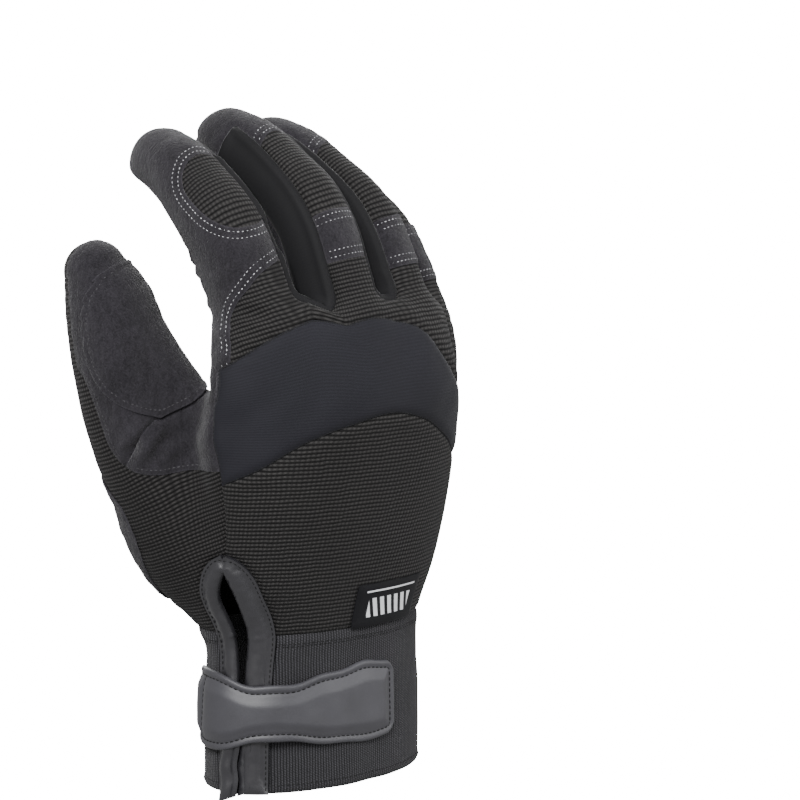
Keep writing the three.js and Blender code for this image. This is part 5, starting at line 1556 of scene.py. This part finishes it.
def stitch_nodes():
    tree = bpy.data.node_groups.new("stitches", "GeometryNodeTree")
    for label, kind, way in (
        ("Geometry", "NodeSocketGeometry", "INPUT"), ("Length", "NodeSocketFloat", "INPUT"),
        ("Thickness", "NodeSocketFloat", "INPUT"), ("Thread", "NodeSocketMaterial", "INPUT"),
        ("Geometry", "NodeSocketGeometry", "OUTPUT"),
    ):
        tree.interface.new_socket(label, in_out=way, socket_type=kind)

    def add(kind, **values):
        node = tree.nodes.new(kind)
        for key, value in values.items():
            setattr(node, key, value)
        return node

    start, end = add("NodeGroupInput"), add("NodeGroupOutput")
    ball = add("GeometryNodeMeshUVSphere")
    for label, value in (("Segments", 8), ("Rings", 6), ("Radius", 0.5)):
        ball.inputs[label].default_value = value
    size, shaped = add("ShaderNodeCombineXYZ"), add("GeometryNodeTransform")
    along = add("GeometryNodeInputNamedAttribute", data_type="FLOAT_VECTOR")
    along.inputs["Name"].default_value = "along"
    outward = add("GeometryNodeInputNamedAttribute", data_type="FLOAT_VECTOR")
    outward.inputs["Name"].default_value = "outward"
    first = add("FunctionNodeAlignRotationToVector", axis="X")
    second = add("FunctionNodeAlignRotationToVector", axis="Z", pivot_axis="X")
    placed_on, real = add("GeometryNodeInstanceOnPoints"), add("GeometryNodeRealizeInstances")
    smooth, thread = add("GeometryNodeSetShadeSmooth"), add("GeometryNodeSetMaterial")
    for source, output, target, entry in (
        (start, "Length", size, "X"), (start, "Thickness", size, "Y"), (start, "Thickness", size, "Z"),
        (ball, "Mesh", shaped, "Geometry"), (size, "Vector", shaped, "Scale"),
        (along, "Attribute", first, "Vector"), (first, "Rotation", second, "Rotation"),
        (outward, "Attribute", second, "Vector"), (start, "Geometry", placed_on, "Points"),
        (shaped, "Geometry", placed_on, "Instance"), (second, "Rotation", placed_on, "Rotation"),
        (placed_on, "Instances", real, "Geometry"), (real, "Geometry", smooth, "Geometry"),
        (smooth, "Geometry", thread, "Geometry"), (start, "Thread", thread, "Material"),
        (thread, "Geometry", end, "Geometry"),
    ):
        tree.links.new(source.outputs[output], target.inputs[entry])
    return tree


STITCHES = stitch_nodes()


def sew(name, rows, length, thickness, material, sink=0.12):
    """One piece with all the stitches of the rows, made of the given thread material."""
    rows = np.concatenate([row for group in rows for row in group])
    mesh = bpy.data.meshes.new(name)
    mesh.vertices.add(len(rows))
    mesh.vertices.foreach_set("co", ((rows[:, :3] - rows[:, 6:] * sink) / 1000).ravel())
    points_only = bpy.data.objects.new(name, mesh)
    scene.collection.objects.link(points_only)
    set_attribute(points_only, "along", rows[:, 3:6])
    set_attribute(points_only, "outward", rows[:, 6:])
    modifier = points_only.modifiers.new("stitches", "NODES")
    modifier.node_group = STITCHES
    values = {"Length": length / 1000, "Thickness": thickness / 1000, "Thread": material}
    for item in STITCHES.interface.items_tree:
        if item.in_out == "INPUT" and item.name in values:
            modifier[item.identifier] = values[item.name]
    shown = points_only.evaluated_get(bpy.context.evaluated_depsgraph_get())
    piece = bpy.data.objects.new(name, bpy.data.meshes.new_from_object(shown))
    bpy.data.objects.remove(points_only)
    scene.collection.objects.link(piece)
    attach(piece, "root")
    return piece


def thread_material(name, colour, shade):
    cloth = Cloth(name, Roughness=0.7, Specular_IOR_Level=0.2)
    return cloth.finish(cloth.mixed(cloth.noise(0.8, 2).between(0.3, 0.7), shade, colour))


def rows_beside(name, others, insets, pitch=1.45, length=0.95):
    panel = panels[name]
    field = distance_to(name, *others)
    keep = np.ones(len(field), bool)
    rows = []
    for inset in insets:
        for line in contour(panel, field, inset, keep):
            rows += spaced(line, pitch, length)
    return rows


WHITE_THREAD = thread_material("light_thread", (0.46, 0.46, 0.48), (0.14, 0.14, 0.145))
GREY_THREAD = thread_material("grey_thread", (0.05, 0.048, 0.052), (0.02, 0.019, 0.021))
BLACK_THREAD = thread_material("dark_thread", (0.006, 0.006, 0.0065), (0.002, 0.002, 0.0022))

light_rows = [rows_beside("palm_panel", (other,), SEW_ROWS) for other in ("index_back", "upper_back_panel")]
for name in LAID_OVER:
    if name.endswith(("knuckle_patch", "fingertip")):
        light_rows.append(rows_beside(name, LAID_OVER[name], SEW_ROWS))
sew("light_stitches", light_rows, 0.95, 0.42, WHITE_THREAD)
grey_rows = [
    rows_beside("thumb_front", ("thumb_back",), (1.5,)),
    rows_beside("palm_panel", ("thumb_back",), (1.5,)),
    rows_beside("thumb_patch", ("",), (1.9,)),
    rows_beside("heel_patch", ("",), (1.9,)),
]
sew("grey_stitches", grey_rows, 1.1, 0.4, GREY_THREAD)
round_band = ("back_panel", "upper_back_panel", "palm_panel", "thumb_back")
dark_rows = [
    rows_beside("knuckle_band", round_band, (0.35,), 1.2, 1.0),
    rows_beside("slit_binding", ("back_panel", "thumb_back", "cuff_band"), (0.8,), 1.7, 1.25),
    rows_beside("cuff_band", ("",), (2.6,), 1.6, 1.2),
    rows_beside("cuff_band", ("back_panel", "palm_panel", "thumb_back"), (2.8, 3.6), 1.6, 1.2),
]
sew("dark_stitches", dark_rows, 1.3, 0.42, BLACK_THREAD, 0.05)

strap_panel = {"faces": top, "outer": strap_outer, "normals": normals_of(strap_outer, top)}
strap_lines = contour(strap_panel, border.ravel(), strap_seam, np.ones(count, bool))
strap_lines += contour(strap_panel, along_strap.ravel(), strap_row, (border > strap_seam - 0.1).ravel())
strap_rows = []
for line in strap_lines:
    strap_rows += spaced(line, 1.85, 1.45)
sew("strap_stitches", [strap_rows], 1.5, 0.5, BLACK_THREAD, 0.02)

# Floor, backdrop and soft studio light. The paper is pure white to the camera alone, so that its
# glow doesn't wash out the dark cloth.
paper = bpy.data.materials.new("white_paper")
paper.use_nodes = True
for label, value in (
    ("Base Color", (0.9, 0.9, 0.9, 1)), ("Emission Color", (1, 1, 1, 1)), ("Emission Strength", 16),
):
    paper.node_tree.nodes["Principled BSDF"].inputs[label].default_value = value
for name, size, place in (("floor", 6, Vector((0, 0, -0.0025))), ("backdrop", 3, -2.2 * back)):
    bpy.ops.mesh.primitive_plane_add(size=size, location=place)
    sheet = bpy.context.object
    sheet.name = name
    if name == "backdrop":
        sheet.rotation_euler = (math.radians(90), 0, CAMERA_AZIMUTH)
    sheet.data.materials.append(paper)
    sheet.visible_diffuse = sheet.visible_glossy = False
world = bpy.data.worlds.new("studio")
world.use_nodes = True
world.node_tree.nodes["Background"].inputs["Color"].default_value = (1, 1, 1, 1)
world.node_tree.nodes["Background"].inputs["Strength"].default_value = 0.75
scene.world = world
for name, place, size, power in (
    ("key_light", (-0.85, -0.62, 0.85), 0.5, 34),
    ("fill_light", (0.75, -1.0, 0.5), 0.9, 14),
    ("rim_light", (0.5, 0.8, 0.6), 0.8, 14),
):
    light = bpy.data.objects.new(name, bpy.data.lights.new(name, "AREA"))
    light.data.size = size
    light.data.energy = power
    light.location = place
    light.rotation_euler = (Vector((0, 0, 0.1)) - Vector(place)).to_track_quat("-Z", "Y").to_euler()
    scene.collection.objects.link(light)
